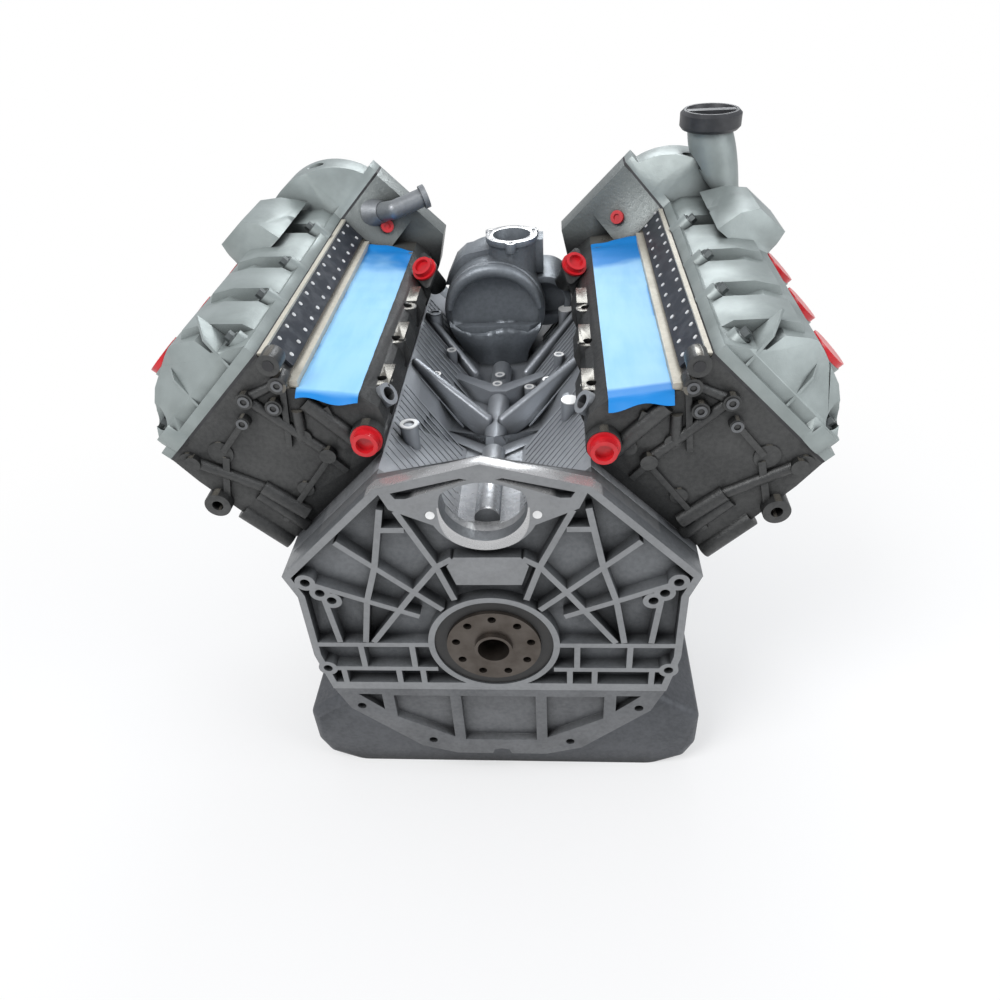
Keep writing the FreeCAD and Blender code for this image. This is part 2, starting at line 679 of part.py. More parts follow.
def build_piston(side, index):
    """A short-skirt piston: crown, three ring grooves, a relieved waist either side of the pin boss."""
    radius, crown = S.bore_radius - S.piston_clearance, S.compression_height
    groove = radius - 3
    section = [(0, crown)]
    section += [(radius, crown), (radius, crown - 5), (groove, crown - 5), (groove, crown - 6.5)]
    section += [(radius, crown - 6.5), (radius, crown - 10), (groove, crown - 10), (groove, crown - 11.5)]
    section += [(radius, crown - 11.5), (radius, crown - 14.5), (groove, crown - 14.5), (groove, crown - 17)]
    section += [(radius, crown - 17), (radius, S.skirt_drop * -1), (radius - 5, S.skirt_drop * -1)]
    section += [(radius - 5, crown - 19), (0, crown - 9)]
    name = f"piston_{SIDE_NAME[side]}_{index + 1}"
    body = revolved(name, section)
    rise = pin_height(side, index)
    turn = FreeCAD.Rotation(Vector(0, 1, 0), side * number(S.bank_tilt))
    at = (HALF_ROOT * side * rise, number(bore_along(side, index)), HALF_ROOT * rise)
    body.Placement = FreeCAD.Placement(Vector(*at), turn)
    return keep(body, name)


# ---------------------------------------------------------------- sump
def build_upper_sump():
    """The structural casting under the block: it carries the lower half of the bell-housing face."""
    split, rear = S.split_height, S.rear_face
    flange = both_sides([(0, split), (S.flange_half - 13, split), (S.pan_hole_x + 14, S.pan_hole_high - 4),
                         (S.keel_hole_x + 14, S.keel_hole_low - 12), (56, S.keel), (12, S.keel), (9, S.keel + 8),
                         (0, S.keel + 10)])
    rails = both_sides([(0, split), (S.skirt_half, split), (S.skirt_half, S.pan_height), (0, S.pan_height)])
    solids = [prism("bell_lower", flange, rear, 22), prism("sump_rails", rails, rear + 21, S.front_face - rear - 21)]
    void = (S.skirt_half * 2 - 2 * S.rail, S.front_face - rear - 34, split - S.pan_height + 2)
    hollow = [box("sump_void", void, (S.skirt_half * -1 + S.rail, rear + 22, S.pan_height - 1))]
    hollow.append(prism("keel_pocket", both_sides([(0, -88), (44, -88), (44, -172), (0, -172)]), rear - 1, 11))
    for side in (RIGHT, LEFT):
        wing = [(57, -88), (124, -88), (124, -128), (57, -167)]
        gusset = [(138, -86), (166, -86), (138, -114)]
        hollow.append(prism(f"wing_pocket_{side + 1}", mirrored(wing, side), rear - 1, 11))
        hollow.append(prism(f"gusset_pocket_{side + 1}", mirrored(gusset, side), rear - 1, 9))
        for index, (x, z) in enumerate([(S.pan_hole_x, S.pan_hole_high), (S.keel_hole_x, S.keel_hole_low)]):
            at = (x * side, rear - 1, z)
            hollow.append(cylinder(f"pan_hole_{side + 1}_{index}", S.bell_hole_radius, 26, at, "y"))
    return keep(cut("upper_pan", fuse("upper_pan_casting", solids), hollow), "upper_sump")


def tub_outline(inset):
    half, floor, top = S.tub_half - inset, S.sump_floor + inset, S.pan_height
    return both_sides([(0, top), (S.skirt_half - inset, top), (half - 46, top - 12), (half, top - 46),
                       (half, floor + 40), (half - 12, floor + 13), (half - 38, floor), (0, floor)])


def rounded(name, base, radius, chosen):
    """Rounds the edges of a solid whose middle point passes a test."""
    doc.recompute()
    thing = doc.addObject("Part::Fillet", name)
    thing.Base = base
    picks = []
    for index, edge in enumerate(base.Shape.Edges, start=1):
        if chosen(edge, edge.valueAt((edge.FirstParameter + edge.LastParameter) / 2)):
            picks.append((index, radius, radius))
    thing.Edges = picks
    return thing


def build_lower_sump():
    """The oil tub, deep and wide behind the bell housing and shallow towards the front, with its drain plug."""
    rear, split = S.rear_face + 24, S.pan_height
    tub = prism("tub", tub_outline(0), rear, S.tub_front - rear)
    half = number(S.tub_half)
    tub = rounded("tub_rounded", tub, number(S.tub_round), lambda edge, mid: abs(mid.x) > half - 60)
    front = both_sides([(0, split), (S.skirt_half, split), (S.skirt_half, split - 26), (S.skirt_half - 20, split - 46),
                        (0, split - 46)])
    shallow = prism("shallow_pan", front, S.tub_front - 6, S.front_face - S.tub_front + 6)
    boss = cylinder("drain_boss", 19, 16, (S.drain_x, S.tub_front - 8, S.sump_floor + 34), "y")
    casting = fuse("tub_casting", [tub, shallow, boss])
    wall = S.tub_wall
    void = prism("tub_void", tub_void(), rear + wall, S.tub_front - rear - 2 * wall)
    floor_void = box("shallow_void", (S.skirt_half * 2 - 40, S.front_face - S.tub_front + wall * 2, 38),
                     (S.skirt_half * -1 + 20, S.tub_front - wall * 2 - 2, split - 37))
    drain = cylinder("drain_hole", S.drain_radius, 40, (S.drain_x, S.tub_front - 30, S.sump_floor + 34), "y")
    keep(cut("lower_pan", casting, [void, floor_void, drain]), "lower_sump")
    plug = cylinder("plug_shank", S.drain_radius - 0.02, 22, (S.drain_x, S.tub_front - 14, S.sump_floor + 34), "y")
    hexagon = cylinder("plug_head", 13, 8, (S.drain_x, S.tub_front + 8, S.sump_floor + 34), "y")
    keep(fuse("drain", [plug, hexagon]), "drain_plug")


def tub_void():
    half, floor, top, wall = S.tub_half, S.sump_floor, S.pan_height, S.tub_wall
    return both_sides([(0, top + 1), (S.skirt_half - S.rail, top + 1), (S.skirt_half - S.rail, top - 18),
                       (half - wall - 30, top - 46), (half - wall, top - 66), (half - wall, floor + 58),
                       (half - wall - 46, floor + wall), (0, floor + wall)])


# ---------------------------------------------------------------- cylinder heads
def head_plan(side, rear, inset=0):
    """The camshaft deck seen from above the bank: straight along the cylinders, flared round the chain drive."""
    inner, outer, flare = inset - S.head_half, S.head_half - inset, S.chest_rear + inset * 0.6
    wide, narrow, front = inset - S.chest_inner, S.chest_outer - inset, S.chest_front - inset
    plan = [(inner, rear + inset), (outer, rear + inset), (outer, flare), (narrow, flare + 34), (narrow, front),
            (wide, front), (wide, flare + 38), (inner, flare)]
    return mirrored(plan, side)


CAM_BAY = 74
SPRING_BAY = 66
INTAKE_LOW, INTAKE_HIGH = (-116, 284), (-75, 337)


def build_head(side):
    name, rear = SIDE_NAME[side], head_rear(side)
    foot, deck, length = HEAD_FOOT, CAM_DECK, S.chest_rear - rear
    section = [(S.deck_half * -1, foot), (-108, 246), (-118, 262), INTAKE_LOW, INTAKE_HIGH, (-80, 344),
               (S.head_half * -1, deck),
               (S.head_half, deck), (88, 345), (93, 258), (84, foot)]
    chest = [(S.deck_half * -1, foot), (-112, 240), (S.chest_inner * -1, 264), (S.chest_inner * -1, deck),
             (S.chest_outer, deck), (S.chest_outer, 300), (96, 258), (84, foot)]
    solids = [
        prism(f"head_{name}_body", mirrored(section, side), rear, length + 1),
        prism(f"head_{name}_chest", mirrored(chest, side), S.chest_rear + 30, S.chest_front - S.chest_rear - 30),
        prism(f"head_{name}_flare", head_plan(side, S.chest_rear - 1), deck - 70, 70, "z"),
        prism(f"head_{name}_neck", mirrored(section, side), S.chest_rear, 32),
    ]
    for index, (across, height, radius, proud) in enumerate(HEAD_BOSSES):
        at = (across * side, rear - proud, height)
        solids.append(cylinder(f"head_{name}_boss_{index}", radius, proud + 12, at, "y"))
    for index, (across, high, radius) in enumerate([(56, 290, 9), (90, 290, 10)]):
        at = (across * side, rear + 3, foot)
        solids.append(cylinder(f"head_{name}_pipe_{index}", radius, high - foot, at))
    for index in CYLINDERS:
        along = bore_along(side, index) - 22
        pad = [(-100, 238), (-118, 246), (-126, 262), (-116, 272), (-104, 262)]
        solids.append(prism(f"head_{name}_pad_{index}", mirrored(pad, side), along, 44))
        port = [(80, 250), (102, 256), (108, 300), (86, 322)]
        solids.append(prism(f"head_{name}_exhaust_{index}", mirrored(port, side), along - 12, 68))
    way = Vector(-0.35 * side, -0.5, 0.79)
    port_way = FreeCAD.Rotation(Vector(0, 0, 1), way)
    seat = Vector(-132 * side, number(S.front_plug_along), 266)
    port_foot = seat - Vector(way).normalize() * 36
    solids.append(cylinder(f"head_{name}_front_boss", S.front_port_radius + 4, 36, port_foot, rotation=port_way))
    solids.append(solid_of(f"head_{name}_port_plate", two_lobed(seat, way, number(S.front_port_radius) + 7, 24, 3.5)))
    bracket = [(-96, 234), (-112, 240), (-134, 256), (-128, 268), (-108, 262)]
    solids.append(prism(f"head_{name}_port_web", mirrored(bracket, side), S.front_plug_along - 4, 18))
    for index, (start, end, width) in enumerate(HEAD_RIBS):
        ends = [(a * side, b) for a, b in (start, end)]
        solids.append(solid_of(f"head_{name}_rib_{index}", strip(*ends, width, number(rear) - 4, 8)))
    lean = FreeCAD.Rotation(Vector(0, 0, 1), Vector(-0.79 * side, 0, 0.61))
    for index, ahead in enumerate(INTAKE_BOSSES):
        foot_at = (-98 * side, bore_along(side, 0) + ahead, 252)
        solids.append(cylinder(f"head_{name}_intake_boss_{index}", 11, 26, foot_at, rotation=lean))
    casting = fuse(f"head_{name}_casting", solids)

    hollow = [box(f"head_{name}_cam_box", (CAM_BAY * 2, S.chest_rear - rear + 12, 40),
                  (-CAM_BAY, rear + 8, S.cam_height))]
    room = [(-75, foot - 1), (-106, 247), (8 - S.chest_inner, 270), (8 - S.chest_inner, deck + 1),
            (S.chest_outer - 8, deck + 1), (S.chest_outer - 8, 304), (88, 262), (77, foot - 1)]
    hollow.append(prism(f"head_{name}_chain_room", mirrored(room, side), S.front_face + 2,
                        S.chest_front - S.front_face - 8))
    for index in CYLINDERS:
        bay = (SPRING_BAY * 2, S.bore_spacing - 16, S.bay_drop - 17)
        at = (-SPRING_BAY, bore_along(side, index) - 43, S.cam_height - S.bay_drop)
        hollow.append(box(f"head_{name}_bay_{index}", bay, at))
        sweep = (CAM_BAY * 2, S.bore_spacing - 16, 19)
        hollow.append(box(f"head_{name}_sweep_{index}", sweep, (-CAM_BAY, bore_along(side, index) - 43, S.cam_height - 18)))
        well = (0, bore_along(side, index), foot + 24)
        hollow.append(cylinder(f"head_{name}_well_{index}", S.well_radius - 4, 200, well))
        thread = (0, bore_along(side, index), foot + 5)
        hollow.append(cylinder(f"head_{name}_plug_hole_{index}", S.plug_radius, 30, thread))
        chamber = (0, bore_along(side, index), foot - 1)
        hollow.append(cone(f"head_{name}_chamber_{index}", S.bore_radius - 2, 34, 11, chamber))
    for across in (S.cam_spread, S.cam_spread * -1):
        at = (across, rear + 6, S.cam_height)
        hollow.append(cylinder(f"head_{name}_cam_line_{number(across):.0f}", S.cam_shaft_radius + S.running_fit,
                               S.front_face - rear, at, "y"))
    ear = (92 * side, rear - 14, 316)
    hollow.append(cylinder(f"head_{name}_ear_hole", S.ear_hole, 26, ear, "y"))
    hollow.append(cylinder(f"head_{name}_coolant_port", S.port_radius, 30, (-88 * side, rear - 20, 251), "y"))
    port_foot = seat - Vector(way).normalize() * 22
    hollow.append(cylinder(f"head_{name}_front_port", S.front_port_radius, 30, port_foot, rotation=port_way))
    for index, ahead in enumerate(INTAKE_BOSSES):
        foot_at = (-108 * side, bore_along(side, 0) + ahead, 259.7)
        hollow.append(cylinder(f"head_{name}_intake_hole_{index}", 5, 26, foot_at, rotation=lean))
    hollow.append(solid_of(f"head_{name}_valve_bores", valve_bores(side)))
    head = cut(f"head_{name}", casting, hollow)
    return keep_on_bank(head, f"cylinder_head_{name}", side)


HEAD_BOSSES = [(-88, 366, 11, 10), (-74, 348, 9, 8), (-14, 350, 7, 9), (38, 347, 13, 2), (92, 316, 14, 12),
               (-88, 251, 17, 12), (14, 258, 9, 3), (-40, 296, 8, 4), (-64, 262, 8, 3), (70, 366, 10, 3)]


HEAD_RIBS = [((-40, 302), (-36, 240), 7), ((-80, 348), (-20, 300), 6), ((-14, 350), (34, 346), 6),
             ((38, 340), (84, 312), 7), ((-30, 262), (66, 250), 6), ((-64, 264), (-84, 300), 6)]
INTAKE_BOSSES = (-8, 84, 172)


def two_lobed(foot, way, radius, reach, thick):
    """A pipe flange: a round middle with an ear to each side, square to the way its pipe points."""
    side_way = Vector(0, 1, 0).cross(way).normalize()
    ear_way = Vector(way).cross(side_way).normalize()
    base = foot - Vector(way).normalize() * thick
    lean = math.acos((radius - 4.5) / reach)
    corners = []
    for sign, turn in ((1, lean), (-1, math.pi - lean), (-1, math.pi + lean), (1, -lean)):
        out = ear_way * math.cos(turn) + side_way * math.sin(turn)
        for centre, size in ((Vector(), radius), (ear_way * reach * sign, 4.5)):
            corners.append((base + centre + out * size, sign, size))
    plate = [corners[i][0] for i in (1, 0, 2, 3, 5, 4, 6, 7)]
    face = Part.Face(Part.makePolygon(plate + plate[:1]))
    rounds = [Part.makeCylinder(radius, thick, base, way)]
    rounds += [Part.makeCylinder(4.5, thick, base + ear_way * (reach * sign), way) for sign in (1, -1)]
    return face.extrude(Vector(way).normalize() * thick).multiFuse(rounds)


def build_head_gasket(side):
    name, rear = SIDE_NAME[side], head_rear(side)
    plate = box(f"gasket_{name}_plate", (S.deck_half * 2 - 2, S.chest_front - rear - 2, S.gasket),
                (S.deck_half * -1 + 1, rear + 1, S.deck_height))
    holes = [box(f"gasket_{name}_chain_hole", (150, S.chest_front - S.front_face - 9, 4),
                 (-75, S.front_face + 3, S.deck_height - 1))]
    for index in CYLINDERS:
        at = (0, bore_along(side, index), S.deck_height - 1)
        holes.append(cylinder(f"gasket_{name}_hole_{index}", S.bore_radius + 1, 4, at))
    gasket = cut(f"gasket_{name}", plate, holes)
    return keep_on_bank(gasket, f"head_gasket_{name}", side)


# ---------------------------------------------------------------- valve gear
VALVE_SPREAD = 20
VALVE_PITCH = 19
VALVE_SEAT = 12
TAPPET_ROOM = 46


def valve_axes(side):
    """Each valve's seat and the way up its stem to the camshaft above it."""
    for index in CYLINDERS:
        for ahead in (-1, 1):
            for bank_side in (-1, 1):
                along = number(bore_along(side, index)) + ahead * VALVE_PITCH
                seat = Vector(bank_side * VALVE_SPREAD, along, number(HEAD_FOOT) + VALVE_SEAT)
                top = Vector(bank_side * number(S.cam_spread), along, number(S.cam_height))
                yield bank_side * side, seat, (top - seat).normalize(), top


def tappet_top(top, way):
    """The tappet's crown clears the sweep of the lobe, because it doesn't follow the cam."""
    return top - way * (number(S.lobe_base) + number(S.lift) + number(S.air_gap))


def valve_bores(side):
    shapes = []
    for _, seat, way, top in valve_axes(side):
        crown = tappet_top(top, way)
        shapes.append(Part.makeCylinder(number(S.stem_radius) + number(S.running_fit), 110, seat, way))
        shapes.append(Part.makeCone(number(S.valve_radius) + 1.5, number(S.stem_radius) + 1, 12, seat - way * 7, way))
        low = crown - way * TAPPET_ROOM
        shapes.append(Part.makeCylinder(number(S.tappet_radius) + number(S.running_fit), 60, low, way))
    return shapes[0].multiFuse(shapes[1:])


def build_valves():
    families = {1: [], -1: []}
    springs, tappets = [], []
    tilt = number(S.bank_tilt)
    for side in (RIGHT, LEFT):
        for outward, seat, way, top in valve_axes(side):
            crown = tappet_top(top, way)
            under = crown - way * 3
            start = seat - way * 6.5
            stem = Part.makeCylinder(number(S.stem_radius), (under - start).Length - 0.2, start, way)
            head = Part.makeCone(number(S.valve_radius), number(S.stem_radius), 10, start, way)
            shapes = [stem.fuse(head)]
            tappet = Part.makeCylinder(number(S.tappet_radius), number(S.tappet_height),
                                       crown - way * number(S.tappet_height), way)
            inside = Part.makeCylinder(number(S.tappet_radius) - 2, number(S.tappet_height),
                                       crown - way * (number(S.tappet_height) + 3), way)
            reach = TAPPET_ROOM - 3.05
            coil = Part.makeCylinder(11, reach, under - way * (reach + 0.02), way).cut(
                Part.makeCylinder(8, reach + 2, under - way * (reach + 1), way))
            for shape in shapes + [tappet, coil]:
                shape.rotate(Vector(), Vector(0, 1, 0), side * tilt)
            families[outward].append(shapes[0])
            tappets.append(tappet.cut(inside.rotated(Vector(), Vector(0, 1, 0), side * tilt)))
            springs.append(coil)
    keep(solid_of("valves_out", Part.makeCompound(families[1])), "exhaust_valves")
    keep(solid_of("valves_in", Part.makeCompound(families[-1])), "intake_valves")
    keep(solid_of("tappet_set", Part.makeCompound(tappets)), "tappets")
    keep(solid_of("spring_set", Part.makeCompound(springs)), "valve_springs")


def lobe_shape(centre, along, thick, angle):
    """A cam: the base circle and the nose, joined by their common tangents."""
    base, nose = number(S.lobe_base), number(S.lobe_base) * 0.5
    reach = base + number(S.lift) - nose
    lean = math.acos((base - nose) / reach)
    corners = []
    for radius, offset, turn in ((base, 0, lean), (nose, reach, lean), (nose, reach, -lean), (base, 0, -lean)):
        direction = Vector(math.sin(angle + turn), 0, math.cos(angle + turn))
        middle = Vector(math.sin(angle), 0, math.cos(angle)) * offset
        corners.append(centre + middle + direction * radius + Vector(0, along, 0))
    flank = Part.Face(Part.makePolygon(corners + corners[:1])).extrude(Vector(0, thick, 0))
    tip = centre + Vector(math.sin(angle), 0, math.cos(angle)) * reach + Vector(0, along, 0)
    rounds = [Part.makeCylinder(base, thick, centre + Vector(0, along, 0), Vector(0, 1, 0)),
              Part.makeCylinder(nose, thick, tip, Vector(0, 1, 0))]
    return flank.multiFuse(rounds)


FIRING_TURN = {RIGHT: (0, 90, 270, 180), LEFT: (45, 315, 135, 225)}


def chain_along(side):
    return S.chain_right if side == RIGHT else S.chain_left


def build_camshaft(side, outward):
    name = f"{SIDE_NAME[side]}_{'exhaust' if outward > 0 else 'intake'}"
    across = number(S.cam_spread) * outward * side
    centre = Vector(across, 0, number(S.cam_height))
    rear = head_rear(side) + 10
    lobes = []
    for index in CYLINDERS:
        angle = math.radians(FIRING_TURN[side][index] + 100 * outward)
        for ahead in (-1, 1):
            middle = number(bore_along(side, index)) + ahead * VALVE_PITCH
            lobes.append(lobe_shape(centre, middle - 7, 14, angle))
    shaft = cylinder(f"cam_{name}_shaft", S.cam_shaft_radius, chain_along(side) + 8 - rear,
                     (across, rear, S.cam_height), "y")
    cam = fuse(f"cam_{name}", [shaft, solid_of(f"cam_{name}_lobes", Part.makeCompound(lobes))])
    return keep_on_bank(cam, f"camshaft_{name}", side)


def toothed(teeth, along, centre, bore, boss):
    """A chain sprocket: a hub between two faces with a ring of teeth whose tips stay inside the chain."""
    pitch = number(S.chain_pitch)
    tip = pitch * number(teeth) / (2 * math.pi) - number(S.air_gap)
    wide, count = number(S.chain_wide), int(number(teeth))
    root = tip - 3.2
    wheel = Part.makeCylinder(root, wide, centre + Vector(0, along - wide / 2, 0), Vector(0, 1, 0))
    corners = []
    for index in range(count):
        for part, radius in ((0.0, root - 0.4), (0.22, root - 0.4), (0.38, tip), (0.62, tip), (0.78, root - 0.4)):
            angle = 2 * math.pi * (index + part) / count
            corners.append(centre + Vector(math.sin(angle) * radius, along - wide / 2, math.cos(angle) * radius))
    ring = Part.Face(Part.makePolygon(corners + corners[:1])).extrude(Vector(0, wide, 0))
    hub = Part.makeCylinder(boss, wide + 6, centre + Vector(0, along - wide / 2 - 3, 0), Vector(0, 1, 0))
    hole = Part.makeCylinder(bore, wide + 20, centre + Vector(0, along - wide / 2 - 10, 0), Vector(0, 1, 0))
    return wheel.multiFuse([ring, hub]).cut(hole)


def build_cam_sprocket(side, outward):
    name = f"{SIDE_NAME[side]}_{'exhaust' if outward > 0 else 'intake'}"
    centre = Vector(number(S.cam_spread) * outward * side, 0, number(S.cam_height))
    bore = number(S.cam_shaft_radius)
    shape = toothed(S.cam_teeth, number(chain_along(side)), centre, bore, bore + 9)
    return keep_on_bank(solid_of(f"cam_wheel_{name}", shape), f"cam_sprocket_{name}", side)


def build_crank_sprocket():
    bore = number(S.nose_radius)
    shapes = [toothed(S.crank_teeth, number(chain_along(side)), Vector(), bore, bore + 4) for side in (RIGHT, LEFT)]
    keep(solid_of("crank_wheels", shapes[0].fuse(shapes[1]).removeSplitter()), "crank_sprocket")


def belt_face(circles):
    """The outline round three circles, taken as the hull of their outer tangents, as one face across Y."""
    points = []
    for centre, radius in circles:
        for step in range(48):
            angle = 2 * math.pi * step / 48
            points.append((centre.x + radius * math.sin(angle), centre.z + radius * math.cos(angle)))
    hull = []
    for sweep in (sorted(points), sorted(points, reverse=True)):
        chain = []
        for point in sweep:
            while len(chain) > 1 and turn_of(chain[-2], chain[-1], point) <= 1e-9:
                chain.pop()
            chain.append(point)
        hull += chain[:-1]
    return hull


def turn_of(a, b, c):
    return (b[0] - a[0]) * (c[1] - a[1]) - (b[1] - a[1]) * (c[0] - a[0])


def build_chain(side):
    """One chain loop from the crankshaft round both camshafts of a bank, drawn in the engine's own frame."""
    name, pitch, thick = SIDE_NAME[side], number(S.chain_pitch), number(S.chain_thick)
    cam_radius = pitch * number(S.cam_teeth) / (2 * math.pi)
    crank_radius = pitch * number(S.crank_teeth) / (2 * math.pi)
    start = number(chain_along(side)) - number(S.chain_wide) / 2
    centres = [(Vector(), crank_radius)]
    for outward in (1, -1):
        across, height = number(S.cam_spread) * outward, number(S.cam_height)
        x, z = from_bank(across, height)
        centres.append((Vector(x * side, 0, z), cam_radius))
    faces = []
    for extra in (thick, 0):
        hull = belt_face([(centre, radius + extra) for centre, radius in centres])
        corners = [Vector(x, start, z) for x, z in hull]
        faces.append(Part.Face(Part.makePolygon(corners + corners[:1])))
    loop = faces[0].cut(faces[1]).extrude(Vector(0, number(S.chain_wide), 0))
    return keep(solid_of(f"chain_{name}", loop), f"timing_chain_{name}")


def build_cam_caps():
    """Caps that hold each camshaft down between the cylinders."""
    caps = []
    for side in (RIGHT, LEFT):
        for index in range(3):
            along = bore_along(side, index) + S.bore_spacing / 2 - 7
            for across in (S.cam_spread, S.cam_spread * -1):
                body = box("cam_cap_body", (38, 14, 20), (across - 19, along, S.cam_height))
                hole = cylinder("cam_cap_hole", S.cam_shaft_radius + S.running_fit, 20,
                                (across, along - 3, S.cam_height), "y")
                cap = cut("cam_cap", body, [hole])
                cap.Placement = FreeCAD.Placement(Vector(), FreeCAD.Rotation(Vector(0, 1, 0),
                                                                             side * number(S.bank_tilt)))
                caps.append(cap)
    keep(group("cam_caps", caps), "cam_bearing_caps")


def on_bank(side, across, along, height):
    """A point of a bank in the engine's own frame."""
    x, z = from_bank(number(across), number(height))
    return Vector(x * side, number(along), z)


def bank_way(side, across, height):
    x, z = from_bank(across, height)
    return Vector(x * side, 0, z)


# ---------------------------------------------------------------- camshaft covers
def roof_section(inset):
    """The cover's cross-section: a flange, a slope that carries the bolts, a raised ridge and the outer slope."""
    low, crown = CAM_DECK + S.seal_strip, CROWN - inset
    half, step = S.head_half - inset, S.cover_flange - inset
    return [(half * -1 + 3, low), (half * -1 + 3, low + step), (-72 + inset, low + step + 5),
            (-46 + inset, crown - 34), (-38 + inset, crown - 16), (-14 + inset / 2, crown - 3), (-5, crown),
            (6, crown - 2), (40 - inset, crown - 12), (60 - inset, crown - 26), (76 - inset, crown - 47),
            (half - 3, low)]


def dome(name, side, radius, start, length, across, inset=0):
    """A rounded end over a camshaft's chain wheel, kept above the cover's foot and inside its flared plan."""
    at = (across * side, start, S.cam_height + S.dome_rise)
    barrel = cylinder(f"{name}_barrel", radius, length, at, "y")
    room = prism(f"{name}_room", head_plan(side, head_rear(side), inset), CAM_DECK + S.seal_strip - inset, 130, "z")
    thing = doc.addObject("Part::MultiCommon", name)
    thing.Shapes = [barrel, room]
    return thing


def build_cover(side):
    name, rear = SIDE_NAME[side], head_rear(side)
    low = CAM_DECK + S.seal_strip
    front = S.chest_front
    solids = [
        prism(f"cover_{name}_flange", head_plan(side, rear), low, S.cover_flange, "z"),
        prism(f"cover_{name}_roof", mirrored(roof_section(0), side), rear + 7, S.chest_rear + 20 - rear),
        dome(f"cover_{name}_dome_in", side, S.dome_in, S.chest_rear + 6, front - S.chest_rear - 9, S.dome_across * -1),
        dome(f"cover_{name}_dome_out", side, S.dome_out, S.chest_rear + 6, front - S.chest_rear - 9, 48),
    ]
    hood = [(-70, CROWN - 20), (-61, CROWN + 8), (-46, CROWN + 25), (-4, CROWN + 28), (0, CROWN - 14)]
    slopes = [(rear + 250, CROWN - 24), (rear + 268, CROWN + 18), (rear + 276, CROWN + 32), (rear + 346, CROWN + 32),
              (rear + 356, CROWN + 20), (rear + 392, CROWN - 24)]
    bonnet = doc.addObject("Part::MultiCommon", f"cover_{name}_hood")
    bonnet.Shapes = [prism(f"cover_{name}_hood_across", mirrored(hood, side), rear + 240, 170),
                     prism(f"cover_{name}_hood_along", slopes, -120, 240, "x")]
    solids.append(bonnet)
    stops = [along for across, along in cover_bolts(side)[:5]]
    block = [(-79, low + 9), (-75, low + 24), (-50, CROWN - 15), (-28, CROWN - 1), (-10, CROWN - 8), (-10, CROWN - 40)]
    for index in range(4):
        start, room = stops[index] + 17, stops[index + 1] - stops[index] - 34
        solids.append(prism(f"cover_{name}_ridge_{index}", mirrored(block, side), start, room))
    for index in CYLINDERS:
        at = (S.well_across * side, bore_along(side, index), CROWN - 40)
        solids.append(cylinder(f"cover_{name}_well_boss_{index}", S.well_radius + 5, 40 - S.well_drop, at))
    for index, (across, along) in enumerate(cover_bolts(side)):
        at = (across * side, along, low)
        solids.append(cylinder(f"cover_{name}_boss_{index}", 21 if index == 5 else 11, S.bolt_seat, at))
    brow = [(rear - 1, low + S.cover_flange), (rear + SLOPE, CROWN + 6), (rear - 1, CROWN + 6)]
    roof = cut(f"cover_{name}_body", fuse(f"cover_{name}_solid", solids),
               [prism(f"cover_{name}_slope", brow, -140, 280, "x")])
    fins = []
    for index, across in enumerate((-52, 8)):
        fin = [(rear + 3, low + S.cover_flange - 1), (rear + 15, CROWN - 22), (rear + SLOPE, CROWN - 4),
               (rear + SLOPE, low + S.cover_flange - 1)]
        fins.append(prism(f"cover_{name}_fin_{index}", fin, across * side - 1.5, 3, "x"))
    casting = fuse(f"cover_{name}_casting", [roof] + fins)
    wall = number(S.cover_wall)
    shy = [(rear - 1, low), (rear + 9, low + S.cover_flange), (rear + SLOPE + 10, CROWN + 6), (rear - 1, CROWN + 6)]
    hollow = [
        cut(f"cover_{name}_inside", prism(f"cover_{name}_room", mirrored(roof_section(wall), side), rear + 7 + wall,
                                          S.chest_rear + 6 - rear),
            [prism(f"cover_{name}_inner_slope", shy, -140, 280, "x")]),
        dome(f"cover_{name}_in_void", side, S.dome_in - wall, S.chest_rear + 6 + wall,
             front - S.chest_rear - 9 - 2 * wall, S.dome_across * -1, wall + 2),
        dome(f"cover_{name}_out_void", side, S.dome_out - wall, S.chest_rear + 6 + wall,
             front - S.chest_rear - 9 - 2 * wall, 48, wall + 2),
    ]
    plan = [(-74, rear + 12), (74, rear + 12), (74, S.chest_rear + 8), (-74, S.chest_rear + 8)]
    hollow.append(prism(f"cover_{name}_floor", mirrored(plan, side), low - 1, S.cover_flange - wall + 1, "z"))
    for index in CYLINDERS:
        at = (S.well_across * side, bore_along(side, index), CROWN - 60)
        hollow.append(cylinder(f"cover_{name}_coil_{index}", S.well_radius, 80, at))
        rim = (S.well_across * side, bore_along(side, index), CROWN - S.well_drop)
        hollow.append(cylinder(f"cover_{name}_coil_seat_{index}", S.well_radius + 4.4, 40, rim))
    shell = cut(f"cover_{name}_shell", casting, hollow)
    columns, pockets = [], []
    for index, (across, along) in enumerate(cover_bolts(side)):
        at = (across * side, along, low + 8)
        columns.append(cylinder(f"cover_{name}_column_{index}", 12.5, 60, at))
        seat = (across * side, along, low + S.bolt_seat)
        pockets.append(cylinder(f"cover_{name}_bolt_room_{index}", 9.5, 80, seat))
    kept = doc.addObject("Part::MultiCommon", f"cover_{name}_columns")
    kept.Shapes = [fuse(f"cover_{name}_column_set", columns), casting]
    cover = cut(f"cover_{name}", fuse(f"cover_{name}_filled", [shell, kept]), pockets)
    return keep_on_bank(cover, f"cam_cover_{name}", side)


SLOPE = 42


def cover_bolts(side):
    """The cover's bolts, across and along: five on the inner edge, one in the lobe at the outer rear corner."""
    rear = head_rear(side)
    return [(-66, rear + 26), (-74, rear + 114), (-74, rear + 205), (-76, rear + 318), (-100, rear + 426),
            (58, rear + 16)]


